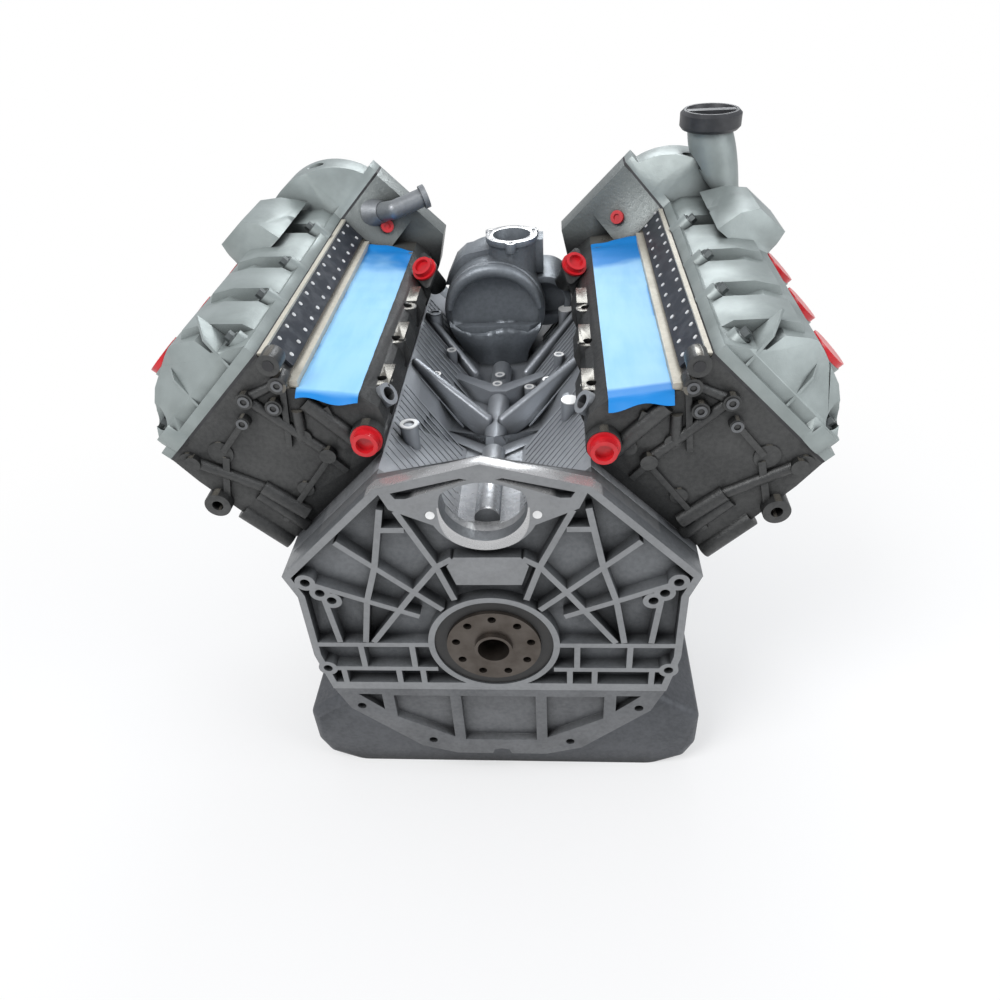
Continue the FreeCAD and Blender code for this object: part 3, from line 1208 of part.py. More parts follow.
def build_cover_bolts():
    """Flanged hexagon bolts on the inner edge of both covers and in the lobe at the outer rear corner."""
    bolts = []
    for side in (RIGHT, LEFT):
        seat = CAM_DECK + S.seal_strip + S.bolt_seat
        way = bank_way(side, 0, 1)
        for across, along in cover_bolts(side):
            foot = on_bank(side, across, along, seat)
            washer = Part.makeCylinder(8, 1.6, foot, way)
            head = hexagon(foot + way * 1.6, way, 5.5, 6)
            bolts.append(washer.fuse(head))
    keep(solid_of("cover_bolt_set", Part.makeCompound(bolts)), "cam_cover_bolts")


def hexagon(foot, way, radius, tall):
    flat = Part.makePolygon([Vector(radius * math.sin(math.radians(60 * step)),
                                    radius * math.cos(math.radians(60 * step)), 0) for step in range(7)])
    prism_shape = Part.Face(flat).extrude(Vector(0, 0, tall))
    prism_shape.Placement = FreeCAD.Placement(foot, FreeCAD.Rotation(Vector(0, 0, 1), way))
    return prism_shape


def build_cover_gasket(side):
    name, rear = SIDE_NAME[side], head_rear(side)
    whole = prism(f"strip_{name}_outer", head_plan(side, rear), CAM_DECK, S.seal_strip, "z")
    void = prism(f"strip_{name}_inner", head_plan(side, rear, 8), CAM_DECK - 1, S.seal_strip + 2, "z")
    return keep_on_bank(cut(f"strip_{name}", whole, [void]), f"cam_cover_gasket_{name}", side)


def build_coil_caps():
    """Red transport caps pressed into the ignition-coil wells along both covers."""
    caps = []
    for side in (RIGHT, LEFT):
        way = bank_way(side, 0, 1)
        for index in CYLINDERS:
            seat = on_bank(side, S.well_across, bore_along(side, index), CROWN - S.well_drop)
            stem = Part.makeCylinder(number(S.well_radius) - 0.1, 14, seat - way * 12, way)
            rim = Part.makeCylinder(number(S.well_radius) + 4, 6, seat + way * 0.05, way)
            caps.append(stem.fuse(rim))
    keep(solid_of("coil_caps", Part.makeCompound(caps)), "coil_well_caps")


# ---------------------------------------------------------------- timing case, damper, chain guides
def timing_outline(inset):
    return both_sides([(0, S.valley_floor - 20 - inset), (44, S.valley_floor - inset),
                       (104, 217 - inset * 1.4), (217 - inset * 1.5, 104),
                       (S.skirt_half + 26 - inset, 50), (S.skirt_half - inset, 10), (S.skirt_half - inset,
                       S.split_height + inset), (0, S.split_height + inset)])


def build_timing_cover():
    deep = S.timing_front - S.front_face
    shell = prism("case_shell", timing_outline(0), S.front_face, deep)
    void = prism("case_void", timing_outline(7), S.front_face - 1, deep - 6)
    boss = cylinder("case_nose", 46, 12, (0, S.timing_front - 2, 0), "y")
    casting = fuse("case_casting", [cut("case_tray", shell, [void]), boss])
    holes = [cylinder("case_seal_bore", S.nose_radius + S.air_gap, 40, (0, S.timing_front - 20, 0), "y")]
    for side in (RIGHT, LEFT):
        name = SIDE_NAME[side]
        slot = [(-76, 214), (76, 214), (76, 240), (-76, 240)]
        slot_prism = prism(f"case_mouth_{name}", mirrored(slot, side), S.front_face - 1, deep - 6)
        opening = fuse(f"case_mouth_{name}_turned", [slot_prism])
        opening.Placement = FreeCAD.Placement(Vector(), FreeCAD.Rotation(Vector(0, 1, 0), side * number(S.bank_tilt)))
        holes.append(opening)
    keep(cut("timing_case", casting, holes), "front_timing_cover")


def build_damper():
    """The crankshaft pulley: a rubber-damped rim with belt grooves round a dished web, seated on the nose."""
    bore, hub, rim, wide = S.nose_radius, 28, S.damper_radius, 34
    groove = [(rim - 3 * (step % 2), 4 + 2.2 * step) for step in range(11)]
    section = [(bore, 0), (hub, 0), (hub, 12), (rim - 16, 12), (rim - 16, 2), (rim, 2)] + groove
    section += [(rim, wide - 4), (rim - 16, wide - 4), (rim - 16, 20), (hub, 20), (hub, 30), (bore, 30)]
    body = revolved("damper", section)
    body.Placement = FreeCAD.Placement(Vector(0, number(S.timing_front) + 12, 0), TURNS["y"])
    bind(body, "Placement.Base.y", S.timing_front + 12)
    keep(body, "crankshaft_pulley")
    bolt = fuse("nose_bolt", [cylinder("nose_washer", 26, 4, (0, S.timing_front + 42, 0), "y"),
                              cylinder("nose_bolt_head", 15, 12, (0, S.timing_front + 46, 0), "y"),
                              cylinder("nose_bolt_shank", 8, 20, (0, S.timing_front + 23, 0), "y")])
    keep(bolt, "crankshaft_bolt")


def chain_run():
    """Where the outside of a chain's straight run leaves the crankshaft, and its lean from the cylinder plane."""
    pitch, thick = number(S.chain_pitch), number(S.chain_thick)
    low = pitch * number(S.crank_teeth) / (2 * math.pi) + thick
    high = pitch * number(S.cam_teeth) / (2 * math.pi) + thick
    across, up = number(S.cam_spread), number(S.cam_height)
    lean = math.atan2(across, up) + math.asin((high - low) / math.hypot(across, up))
    return low * math.cos(lean), -low * math.sin(lean), lean


def build_guides():
    """Straight rails in the timing case that the runs of each chain slide past."""
    foot_across, foot_height, lean = chain_run()
    thick, reach, start = 8, 116, 62
    rails = []
    for side in (RIGHT, LEFT):
        for outward in (1, -1):
            along, out = Vector(math.sin(lean), 0, math.cos(lean)), Vector(math.cos(lean), 0, -math.sin(lean))
            middle = Vector(foot_across, 0, foot_height) + along * (start + reach / 2)
            middle += out * (number(S.air_gap) + thick / 2)
            centre = on_bank(side, middle.x * outward, chain_along(side), middle.z)
            turn = FreeCAD.Rotation(Vector(0, 1, 0), side * (number(S.bank_tilt) + outward * math.degrees(lean)))
            body = box("guide_body", (thick, S.chain_wide, reach), (0, 0, 0))
            corner = turn.multVec(Vector(thick / 2, number(S.chain_wide) / 2, reach / 2))
            body.Placement = FreeCAD.Placement(centre - corner, turn)
            rails.append(body)
    keep(group("guides", rails), "chain_guides")


# ---------------------------------------------------------------- oil filler
def build_filler():
    """The filler neck rises from the right cover's front end and turns upright; the cap is a quarter-turn one."""
    foot = on_bank(RIGHT, S.dome_across * -1 + 12, S.neck_y, CAM_DECK + 60)
    top = Vector(number(S.neck_x), number(S.neck_y), number(S.cap_base))
    wires = []
    for share, radius in ((0, S.neck_foot), (0.4, S.neck_foot - 4), (0.78, S.neck_radius + 2), (1, S.neck_radius)):
        centre = foot + (top - foot) * share
        tilt = number(S.bank_tilt) * max(0.0, 1 - share * 1.25)
        normal = Vector(math.sin(math.radians(tilt)), 0, math.cos(math.radians(tilt)))
        wires.append(Part.Wire(Part.makeCircle(number(radius), centre, normal)))
    outer = Part.makeLoft(wires, True)
    bore = Part.makeCylinder(number(S.neck_radius) - 5, 46, top - Vector(0, 0, 44), Vector(0, 0, 1))
    cover = NODES["cam_cover_right"].Shape
    neck = outer.cut(bore).cut(cover)
    neck = max(neck.Solids, key=lambda solid: solid.Volume)
    keep(solid_of("filler_neck", neck), "oil_filler_neck")

    radius, tall = S.cap_radius, S.cap_height
    section = [(0, -14), (S.neck_radius - 5.4, -14), (S.neck_radius - 5.4, 0.4), (radius - 3, 0.4), (radius, 4),
               (radius, tall - 4), (radius - 4, tall), (radius - 7, tall), (radius - 9, tall - 6), (0, tall - 6)]
    body = revolved("filler_cap", section)
    grip = body.newObject("Sketcher::SketchObject", "cap_grip_outline")
    grip.AttachmentSupport = [(next(f for f in body.Origin.OriginFeatures if f.Role == "XY_Plane"), "")]
    grip.MapMode = "FlatFace"
    draw(grip, [(radius * -1 + 8, -6), (radius - 8, -6), (radius - 8, 6), (radius * -1 + 8, 6)])
    bar = body.newObject("PartDesign::Pad", "cap_grip")
    bar.Profile = grip
    bind(bar, "Length", tall - 0.5)
    body.Tip = bar
    body.Placement = FreeCAD.Placement(top + Vector(0, 0, 0.3), FreeCAD.Rotation())
    bind(body, "Placement.Base.x", S.neck_x)
    bind(body, "Placement.Base.y", S.neck_y)
    bind(body, "Placement.Base.z", S.cap_base + 0.3)
    keep(body, "oil_filler_cap")


# ---------------------------------------------------------------- coolant outlet and hoses
def build_coolant_housing():
    """The drum-shaped coolant housing that closes the front of the valley, with its upright outlet tower."""
    x, y, top = S.tower_x, S.tower_y, S.tower_top
    solids = [
        cylinder("drum", S.drum_radius, S.front_face - S.drum_rear, (-8, S.drum_rear, S.drum_height), "y"),
        cone("drum_nose", S.drum_radius - 16, S.drum_radius, 12, (-8, S.drum_rear - 12, S.drum_height), "y"),
        cylinder("tower", S.tower_radius - 3, top - S.drum_height, (x, y, S.drum_height)),
        cylinder("tower_flange", S.tower_radius, 7, (x, y, top - 7)),
        prism("drum_shoulder", [(-74, 250), (-60, 278), (-46, 290), (-6, 298), (20, 290), (20, 250)], S.drum_rear + 26, 44),
        cylinder("side_drum", 34, S.front_face - S.drum_rear - 20, (58, S.drum_rear + 20, S.drum_height + 2), "y"),
        box("tower_buttress", (44, 30, 44), (x - 4, y, top - 52)),
        box("drum_foot", (84, S.front_face - S.drum_rear, 70), (-50, S.drum_rear, S.valley_floor - 10)),
    ]
    for index in range(3):
        angle = math.radians(-90 + 120 * index)
        reach = S.tower_radius - 1
        at = (x + reach * math.cos(angle), y + reach * math.sin(angle), top - 12)
        solids.append(cylinder(f"tower_ear_{index}", 6.5, 12, at))
    casting = fuse("coolant_casting", solids)
    hollow = [cylinder("tower_hole", S.tower_bore, 66, (x, y, top - 60)),
              prism("valley_room", both_sides([(0, 0), (S.skirt_half, 0), (S.skirt_half, 70), DECK_OUTER, DECK_INNER,
                                               (S.valley_half, S.valley_floor), (0, S.valley_floor)]), 300, 300)]
    guards = [cylinder("tower_guard", S.tower_radius - 3, 90, (x, y, S.drum_height)),
              box("recess_floor", (300, 90, 90), (-150, S.drum_rear - 20, S.drum_height - 107))]
    hollow.append(cut("drum_recess", cylinder("drum_recess_round", S.drum_radius - 8, 46,
                                              (-8, S.drum_rear - 13, S.drum_height), "y"), guards))
    hollow.append(cut("brow_recess", cylinder("brow_recess_round", 26, 14, (58, S.drum_rear + 19, S.drum_height + 2),
                                              "y"), guards))
    for index in range(3):
        angle = math.radians(-90 + 120 * index)
        reach = S.tower_radius - 1
        at = (x + reach * math.cos(angle), y + reach * math.sin(angle), top - 14)
        hollow.append(cylinder(f"tower_screw_{index}", 2.5, 20, at))
    keep(cut("coolant", casting, hollow), "coolant_outlet_housing")


def build_elbow():
    """The cast elbow at the left head's front inner corner, with its foot plate."""
    foot = on_bank(LEFT, -112, S.elbow_along, 350)
    bend = foot + Vector(30, -22, 10)
    end = bend + Vector(42, 16, 12)
    radius = number(S.elbow_radius)
    pieces = [Part.makeCylinder(radius, (bend - foot).Length, foot, bend - foot), Part.makeSphere(radius, bend),
              Part.makeCylinder(radius, (end - bend).Length, bend, end - bend)]
    pieces.append(Part.makeCylinder(radius + 3, 7, end - (end - bend).normalize() * 7, end - bend))
    pieces.append(Part.makeCone(radius + 10, radius + 1, 20, foot - (bend - foot).normalize() * 4, bend - foot))
    solid = pieces[0].multiFuse(pieces[1:])
    solid = solid.cut(Part.makeCylinder(radius - 4, 40, end - (end - bend).normalize() * 30, end - bend))
    solid = solid.cut(NODES["cylinder_head_left"].Shape)
    solid = max(solid.Solids, key=lambda piece: piece.Volume)
    keep(solid_of("elbow", solid), "coolant_elbow")


def plug_shape(foot, way, radius, proud, brim=5):
    """A moulded transport plug: a stepped stem, a rim and a hollow head."""
    stem = Part.makeCylinder(radius, 15, foot - way * 14, way)
    rim = Part.makeCylinder(radius + brim, 3, foot + way * 0.05, way)
    head = Part.makeCylinder(radius + brim - 3, proud, foot + way * 2, way)
    cup = Part.makeCylinder(radius + brim - 7, proud, foot + way * 5, way)
    return stem.multiFuse([rim, head]).cut(cup)


def build_plugs():
    rear_plugs, front_plugs = [], []
    for side in (RIGHT, LEFT):
        rear = number(head_rear(side))
        foot = on_bank(side, -88, rear - 12, 251)
        rear_plugs.append(plug_shape(foot, Vector(0, -1, 0), number(S.port_radius) - 0.1, 10))
    keep(solid_of("rear_plugs", Part.makeCompound(rear_plugs)), "rear_coolant_plugs")
    for side in (RIGHT, LEFT):
        way = (bank_way(side, -0.35, 0.79) + Vector(0, -0.5, 0)).normalize()
        foot = on_bank(side, -132, S.front_plug_along, 266)
        front_plugs.append(plug_shape(foot, way, number(S.front_port_radius) - 0.1, 8, 7))
    keep(solid_of("front_plugs", Part.makeCompound(front_plugs)), "front_coolant_plugs")


# ---------------------------------------------------------------- intake side
def intake_frame(side):
    """The foot, the upward run and the outward normal of the slanting intake face."""
    low, high = on_bank(side, INTAKE_LOW[0], 0, INTAKE_LOW[1]), on_bank(side, INTAKE_HIGH[0], 0, INTAKE_HIGH[1])
    run = (high - low).normalize()
    normal = Vector(0, 1, 0).cross(run) * -1
    if normal.z < 0:
        normal = normal * -1
    return low, run, normal


def build_intake_trim(side):
    """The protective film stretched over the intake ports, and the screwed plate on the wall above it."""
    name, rear = SIDE_NAME[side], number(head_rear(side))
    low, run, normal = intake_frame(side)
    start = rear - number(S.film_overhang)
    length = number(S.chest_rear) - 3 - start
    wide, thick = number(S.film_wide), number(S.film_thick)
    base = low + Vector(0, start, 0) + run * 0.5 + normal * 0.3
    corners = [base, base + Vector(0, length, 0), base + Vector(0, length, 0) + run * wide, base + run * wide, base]
    film = Part.Face(Part.makePolygon(corners)).extrude(normal * thick)
    keep(solid_of(f"film_{name}", film), f"port_film_{name}")
    wall_foot, wall_top = on_bank(side, -80, 0, 344), on_bank(side, -number(S.head_half), 0, number(CAM_DECK))
    foot, top = wall_foot + (wall_top - wall_foot) * 0.04, wall_foot + (wall_top - wall_foot) * 0.93
    rise = top - foot
    out = Vector(0, 1, 0).cross(Vector(rise).normalize())
    if out.x * side > 0:
        out = out * -1
    start = rear + number(S.plate_rear)
    base = foot + Vector(0, start, 0) + out * 0.1
    length = number(S.chest_rear) - 2 - start
    corners = [base, base + Vector(0, length, 0), base + Vector(0, length, 0) + rise, base + rise, base]
    plate = Part.Face(Part.makePolygon(corners)).extrude(out * 3)
    keep(solid_of(f"plate_{name}", plate), f"injector_plate_{name}")


# ---------------------------------------------------------------- spark plugs
def build_spark_plugs():
    """Eight plugs screwed down the wells of the heads: thread, hexagon and insulator."""
    plugs = []
    for side in (RIGHT, LEFT):
        way = bank_way(side, 0, 1)
        for index in CYLINDERS:
            seat = on_bank(side, 0, bore_along(side, index), HEAD_FOOT + 24)
            thread = Part.makeCylinder(number(S.plug_radius) - 0.02, 16, seat - way * 15, way)
            collar = Part.makeCylinder(9, 3, seat + way * 0.02, way)
            nut = hexagon(seat + way * 2, way, 9, 9)
            insulator = Part.makeCone(5, 4, 34, seat + way * 10, way)
            plugs.append(thread.multiFuse([collar, nut, insulator]))
    keep(solid_of("plug_set", Part.makeCompound(plugs)), "spark_plugs")


def build_all():
    build_block()
    build_crankshaft()
    build_rear_seal()
    build_main_caps()
    build_upper_sump()
    build_lower_sump()
    for side in (RIGHT, LEFT):
        for index in CYLINDERS:
            build_piston(side, index)
        build_head(side)
        build_head_gasket(side)
        build_cover(side)
        build_cover_gasket(side)
        build_chain(side)
        for outward in (1, -1):
            build_camshaft(side, outward)
            build_cam_sprocket(side, outward)
        build_intake_trim(side)
    build_valves()
    build_cam_caps()
    build_spark_plugs()
    build_crank_sprocket()
    build_cover_bolts()
    build_coil_caps()
    build_timing_cover()
    build_damper()
    build_guides()
    build_coolant_housing()
    build_plugs()
    doc.recompute()
    build_filler()
    build_elbow()


def check_document():
    """Stops if any object failed, so that no broken piece is written."""
    failed = [thing.Label for thing in doc.Objects if "Invalid" in thing.State or "Error" in thing.State]
    if failed:
        raise SystemExit(f"failed: {failed}")
    for label, thing in NODES.items():
        if thing.Shape.isNull() or not thing.Shape.isValid() or not thing.Shape.Solids:
            raise SystemExit(f"{label} has no valid shape")


def write_parts():
    os.makedirs("parts", exist_ok=True)
    for label, thing in NODES.items():
        thing.Shape.exportStep(f"parts/{label}.step")
        print(f"{label}: {len(thing.Shape.Solids)} solids, {thing.Shape.Volume / 1000:.1f} cm3")


build_all()
doc.recompute()
check_document()
write_parts()
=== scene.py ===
# %% [markdown]
# # A V8 engine, dressed for a portrait
# The packed model already has every piece of the engine in its place, in metres, with the crankshaft along
# Y and its rear flange at the origin. This lesson gives those pieces their looks: sand-cast aluminium with
# soft edges, satin-coated camshaft covers, machined rims, oiled steel, moulded plugs and a stretched film.
# The CAD solids are never moved. Where a casting needs softer edges, a copy of its mesh stands in for it.

# %% Load the frame
import bpy
import bmesh
import math
from mathutils import Matrix, Vector


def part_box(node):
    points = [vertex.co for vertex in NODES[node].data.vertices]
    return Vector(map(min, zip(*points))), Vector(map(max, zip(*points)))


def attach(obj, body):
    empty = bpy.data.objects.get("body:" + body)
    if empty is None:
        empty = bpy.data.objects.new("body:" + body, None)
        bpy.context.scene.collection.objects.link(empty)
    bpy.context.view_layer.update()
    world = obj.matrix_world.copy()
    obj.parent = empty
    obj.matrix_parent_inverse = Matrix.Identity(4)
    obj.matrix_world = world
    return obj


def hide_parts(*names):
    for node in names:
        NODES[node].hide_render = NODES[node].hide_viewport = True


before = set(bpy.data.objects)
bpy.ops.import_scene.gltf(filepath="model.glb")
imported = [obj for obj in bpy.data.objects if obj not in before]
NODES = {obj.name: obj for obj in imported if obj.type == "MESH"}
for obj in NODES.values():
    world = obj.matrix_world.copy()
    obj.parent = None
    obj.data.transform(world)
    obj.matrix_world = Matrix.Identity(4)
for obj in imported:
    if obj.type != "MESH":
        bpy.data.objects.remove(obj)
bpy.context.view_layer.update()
RIGHT, LEFT = 1, -1
SIDE_NAME = {RIGHT: "right", LEFT: "left"}
MM = 0.001
print("pieces in the frame:", len(NODES))

# %% [markdown]
# ## The camera
# The engine is seen from behind and above, a little to the right of the crankshaft, through a moderately
# wide lens. A Track To constraint could aim it at the block, but it can't hold the small roll that this
# view has. So the three axes of the camera are worked out from its yaw, pitch and roll, which is how a
# tripod head is read, and they become the columns of its matrix.

# %% Place the camera
SENSOR_WIDTH, FOCAL_SHARE = 36, 0.7893
TRIPOD_PLACE, TRIPOD_TURN = (0.0697, -0.5895, 0.6586), (-5.1, -37.5, -3.6)


def aim(yaw, pitch, roll):
    """A camera's rotation from degrees; its columns are its right, its up and the direction behind it."""
    yaw, pitch, roll = (math.radians(angle) for angle in (yaw, pitch, roll))
    forward = Vector((math.sin(yaw) * math.cos(pitch), math.cos(yaw) * math.cos(pitch), math.sin(pitch)))
    level = Vector((math.cos(yaw), -math.sin(yaw), 0))
    upright = level.cross(forward)
    right = level * math.cos(roll) + upright * math.sin(roll)
    up = upright * math.cos(roll) - level * math.sin(roll)
    return Matrix((right, up, -forward)).transposed()


camera_data = bpy.data.cameras.new("workbench_camera")
camera_data.lens = SENSOR_WIDTH * FOCAL_SHARE
camera_data.sensor_width = SENSOR_WIDTH
camera_data.clip_start = 0.01
camera = bpy.data.objects.new("workbench_camera", camera_data)
camera.matrix_world = Matrix.Translation(TRIPOD_PLACE) @ aim(*TRIPOD_TURN).to_4x4()
bpy.context.collection.objects.link(camera)
bpy.context.scene.camera = camera
print("lens in millimetres:", round(camera_data.lens, 2))

# %% [markdown]
# ## Writing node maths as plain sums
# A material is a graph of small sums, and so is a Geometry Nodes tree. Wiring each one by hand hides what
# it says, so one class wraps a socket and lets `grain * 0.3 + 0.5` add its own Math nodes. Everything else
# goes through one method of `Graph`, which takes a node's type, its settings, and the values or links of
# its sockets.

# %% A socket that can be added and multiplied
class Signal:
    """One output socket of a node graph, with the usual arithmetic."""

    def __init__(self, graph, socket):
        self.graph, self.socket = graph, socket

    def sum_node(self, operation, first, second=0.0):
        return self.graph.node("ShaderNodeMath", {"operation": operation}, {0: first, 1: second})

    def __add__(self, other):
        return self.sum_node("ADD", self, other)

    def __radd__(self, other):
        return self.sum_node("ADD", other, self)

    def __sub__(self, other):
        return self.sum_node("SUBTRACT", self, other)

    def __rsub__(self, other):
        return self.sum_node("SUBTRACT", other, self)

    def __mul__(self, other):
        return self.sum_node("MULTIPLY", self, other)

    def __rmul__(self, other):
        return self.sum_node("MULTIPLY", other, self)

    def __pow__(self, other):
        return self.sum_node("POWER", self, other)

    def __abs__(self):
        return self.sum_node("ABSOLUTE", self)

    def most(self, other):
        return self.sum_node("MAXIMUM", self, other)

    def ramp(self, low, high):
        """0 at low and 1 at high, with a soft step between; low may be the larger."""
        return self.graph.node("ShaderNodeMapRange", {"interpolation_type": "SMOOTHSTEP"},
                               {"Value": self, "From Min": low, "From Max": high})


class Graph:
    """A node tree that is built by naming nodes, settings and inputs."""

    def __init__(self, tree):
        self.tree = tree

    def node(self, kind, settings=None, inputs=None, output=0):
        made = self.tree.nodes.new(kind)
        for name, value in (settings or {}).items():
            setattr(made, name, value)
        for key, value in (inputs or {}).items():
            self.feed(made.inputs[key], value)
        return Signal(self, made.outputs[output])

    def feed(self, socket, value):
        if isinstance(value, Signal):
            self.tree.links.new(value.socket, socket)
        else:
            socket.default_value = value


print("a signal knows:", [name.strip("_") for name in vars(Signal) if callable(getattr(Signal, name))])

# %% [markdown]
# ## A finish is one material
# Every surface of the engine is one Principled shader fed by noise. Painted images could do it too, but
# they would need each casting unwrapped, and they show seams. Noise on the piece's own coordinates has
# none, and in metres its grain is the same real size on every piece, large or small.

# %% The class of all finishes
class Finish(Graph):
    """A material with a Principled shader, whose graph reads the piece's own coordinates."""

    def __init__(self, name, **shader_values):
        self.material = bpy.data.materials.new(name)
        self.material.use_nodes = True
        super().__init__(self.material.node_tree)
        self.shader = self.tree.nodes["Principled BSDF"]
        for socket, value in shader_values.items():
            self.shader.inputs[socket.replace("_", " ")].default_value = value
        place = self.tree.nodes.new("ShaderNodeTexCoord")
        self.place = Signal(self, place.outputs["Object"])
        self.facing = Signal(self, place.outputs["Normal"])

    def noise(self, scale, detail=3.0, rough=0.55, stretch=None):
        """Cloudy noise with so many cells in a metre; a small stretch along an axis draws it out that way."""
        where = self.place
        if stretch:
            where = self.node("ShaderNodeMapping", {}, {"Vector": where, "Scale": stretch})
        return self.node("ShaderNodeTexNoise", {},
                         {"Vector": where, "Scale": scale, "Detail": detail, "Roughness": rough})

    def along(self, axis, source=None):
        """One coordinate of a place in the engine's frame, or of the way a face looks."""
        return self.node("ShaderNodeSeparateXYZ", {}, {0: source or self.place}, output="xyz".index(axis))

    def looks(self, axis, sign=1, least=0.95):
        """1 on faces that look along an axis."""
        return (self.along(axis, self.facing) * sign).ramp(least - 0.04, least)

    def within(self, axis, low, high, soft=0.0006):
        """1 between two places along an axis."""
        place = self.along(axis)
        return place.ramp(low - soft, low) * place.ramp(high + soft, high)

    def round_from(self, x, z):
        """How far a place is from a line along the crankshaft's direction, in metres."""
        across, up = self.along("x") - x, self.along("z") - z
        return (across * across + up * up) ** 0.5

    def mix(self, factor, first, second):
        """A colour part of the way from the first to the second."""
        return self.node("ShaderNodeMix", {"data_type": "RGBA"},
                         {0: factor, 6: self.colour(first), 7: self.colour(second)}, output=2)

    def colour(self, value):
        return value if isinstance(value, Signal) else (*value, 1.0)

    def hollows(self, reach):
        """How open a place is: 1 on a free face, towards 0 deep in a corner."""
        return self.node("ShaderNodeAmbientOcclusion", {"samples": 6}, {"Distance": reach}, output=1)

    def set(self, **feeds):
        """Feeds the shader's sockets by their names."""
        for socket, value in feeds.items():
            self.feed(self.shader.inputs[socket.replace("_", " ")], value)
        return self

    def relief(self, *layers):
        """Stacks bumps, each a height signal with its depth in metres."""
        normal = None
        for height, depth, strength in layers:
            inputs = {"Height": height, "Distance": depth, "Strength": strength}
            if normal:
                inputs["Normal"] = normal
            normal = self.node("ShaderNodeBump", {}, inputs)
        self.feed(self.shader.inputs["Normal"], normal)
        return self


print("a finish can mix:", [name for name in dir(Finish) if not name.startswith("_")])

# %% [markdown]
# ## Cast aluminium
# Sand and die casting leave a skin of fine grains over slow waves. Three scales of noise make it: the grain
# of the mould at half a millimetre, flow marks at a few millimetres, and patches half as wide as a hand. The
# pockets get painted shade: the occlusion of a corner darkens their colour, so every pocket of every casting
# gets its share.

# %% The skin of a casting
MOULD_GRAIN, FLOW_MARKS, PATCHES = 1500, 210, 17    # noise cells in a metre
GRAIN_DEPTH, FLOW_DEPTH = 0.00025, 0.0007


def casting(name, pale, dark, roughness, grain=1.0, metal=0.55, pocket=0.035, pocket_shade=0.22, bright_faces=None,
            bright_tone=(0.50, 0.50, 0.50), paler_part=None):
    """Cast skin, brighter where the bright mask is 1 and paler where the pale mask is; occlusion paints shade
    into pockets. The bright mask marks machined faces, and on the block and the wall also painted light.
    """
    finish = Finish(name)
    fine, flow, patch = finish.noise(MOULD_GRAIN, 2), finish.noise(FLOW_MARKS, 4), finish.noise(PATCHES, 3)
    # painted shade: in corners and pockets the occlusion darkens the colour towards a share of the dark tone
    open_face = finish.hollows(pocket).ramp(0.25, 0.95)
    skin = finish.mix(patch.ramp(0.3, 0.72) * 0.5 + flow.ramp(0.35, 0.7) * 0.35, pale, dark)
    if paler_part:
        skin = finish.mix(paler_part[0](finish), skin, finish.mix(patch, paler_part[1], paler_part[2]))
    colour = finish.mix(open_face, tuple(channel * pocket_shade for channel in dark), skin)
    rough, fine_depth, flow_depth = flow * 0.14 + patch * 0.12 + (roughness - 0.12), fine, flow
    if bright_faces:
        # the bright mask holds machined faces, and on the block and the wall also painted light
        mask = bright_faces(finish)
        feed = finish.noise(500, 2, stretch=(0.08, 1, 1))
        bright_skin = finish.mix(feed * 0.5, bright_tone, tuple(channel * 0.8 for channel in bright_tone))
        colour = finish.mix(mask, colour, bright_skin)
        rough = rough - mask * 0.16
        fine_depth, flow_depth = fine * (1 - mask * 0.8), flow * (1 - mask * 0.9)
    finish.set(Base_Color=colour, Metallic=metal, Roughness=rough)
    finish.relief((flow_depth, FLOW_DEPTH * grain, 0.5), (fine_depth, GRAIN_DEPTH * grain, 0.65))
    return finish.material


print("grain of a casting, in millimetres:", round(1000 / MOULD_GRAIN, 2))

# %% [markdown]
# ## Where a casting is bright
# A milling cutter leaves a few bright faces on each dark casting: the ring of the rear opening and the pads
# of the intake side. Painted light is added the same way: a painted highlight on the top of the arch, and a
# painted pool of light on the valley floor near the opening. They could be pieces or slots of their own, but
# then each border would be an edge of the mesh. A mask tells them by where they stand and which way they
# look, and the casting stays whole.

# %% Masks of the machined faces, the painted light and the paler valley walls
VALLEY_FLOOR = (0.146, 0.150)
OPENING_CENTRE, OPENING_RADIUS, OPENING_FLARE = 0.195, 0.0452, 0.0105


def valley_light_pool(finish):
    """Painted light: the valley's floor is painted bright near the opening, as a pool of the light coming in
    there.
    """
    floor = finish.along("z").ramp(*VALLEY_FLOOR) * finish.along("y").ramp(0.19, 0.03)
    near = abs(finish.along("x")).ramp(0.062, 0.030) * 0.6 + 0.25
    return floor * near * (finish.noise(120, 3).ramp(0.25, 0.6) * 0.6 + 0.4) * finish.looks("z", 1, 0.4)


def milled_and_lit_wall(finish):
    """The ring of the rear opening is machined bright and the ribs' faces a quarter so; the top of the arch
    gets a painted highlight, and the valley floor behind it the painted pool of light.
    """
    flat = finish.within("y", 0.0, 0.0022, 0.0003) * finish.looks("y", -1)
    high = finish.along("z")
    edge = (high - 0.142).ramp(0.052, 0.0) * OPENING_FLARE + OPENING_RADIUS
    ring_face = (edge - finish.round_from(0, OPENING_CENTRE)).ramp(-0.0006, 0.0008)
    bright = flat * ring_face * high.ramp(0.1955, 0.1925)
    # painted highlight: faces on top of the arch that look up are painted bright
    top = finish.looks("z", 1, 0.80) * high.ramp(0.206, 0.209) * finish.within("y", 0.0, 0.0172)
    # painted light: the painted pool of light on the valley floor, seen behind the wall
    behind = valley_light_pool(finish) * finish.along("y").ramp(0.0165, 0.0175)
    return bright.most(top).most(flat * 0.24).most(behind)


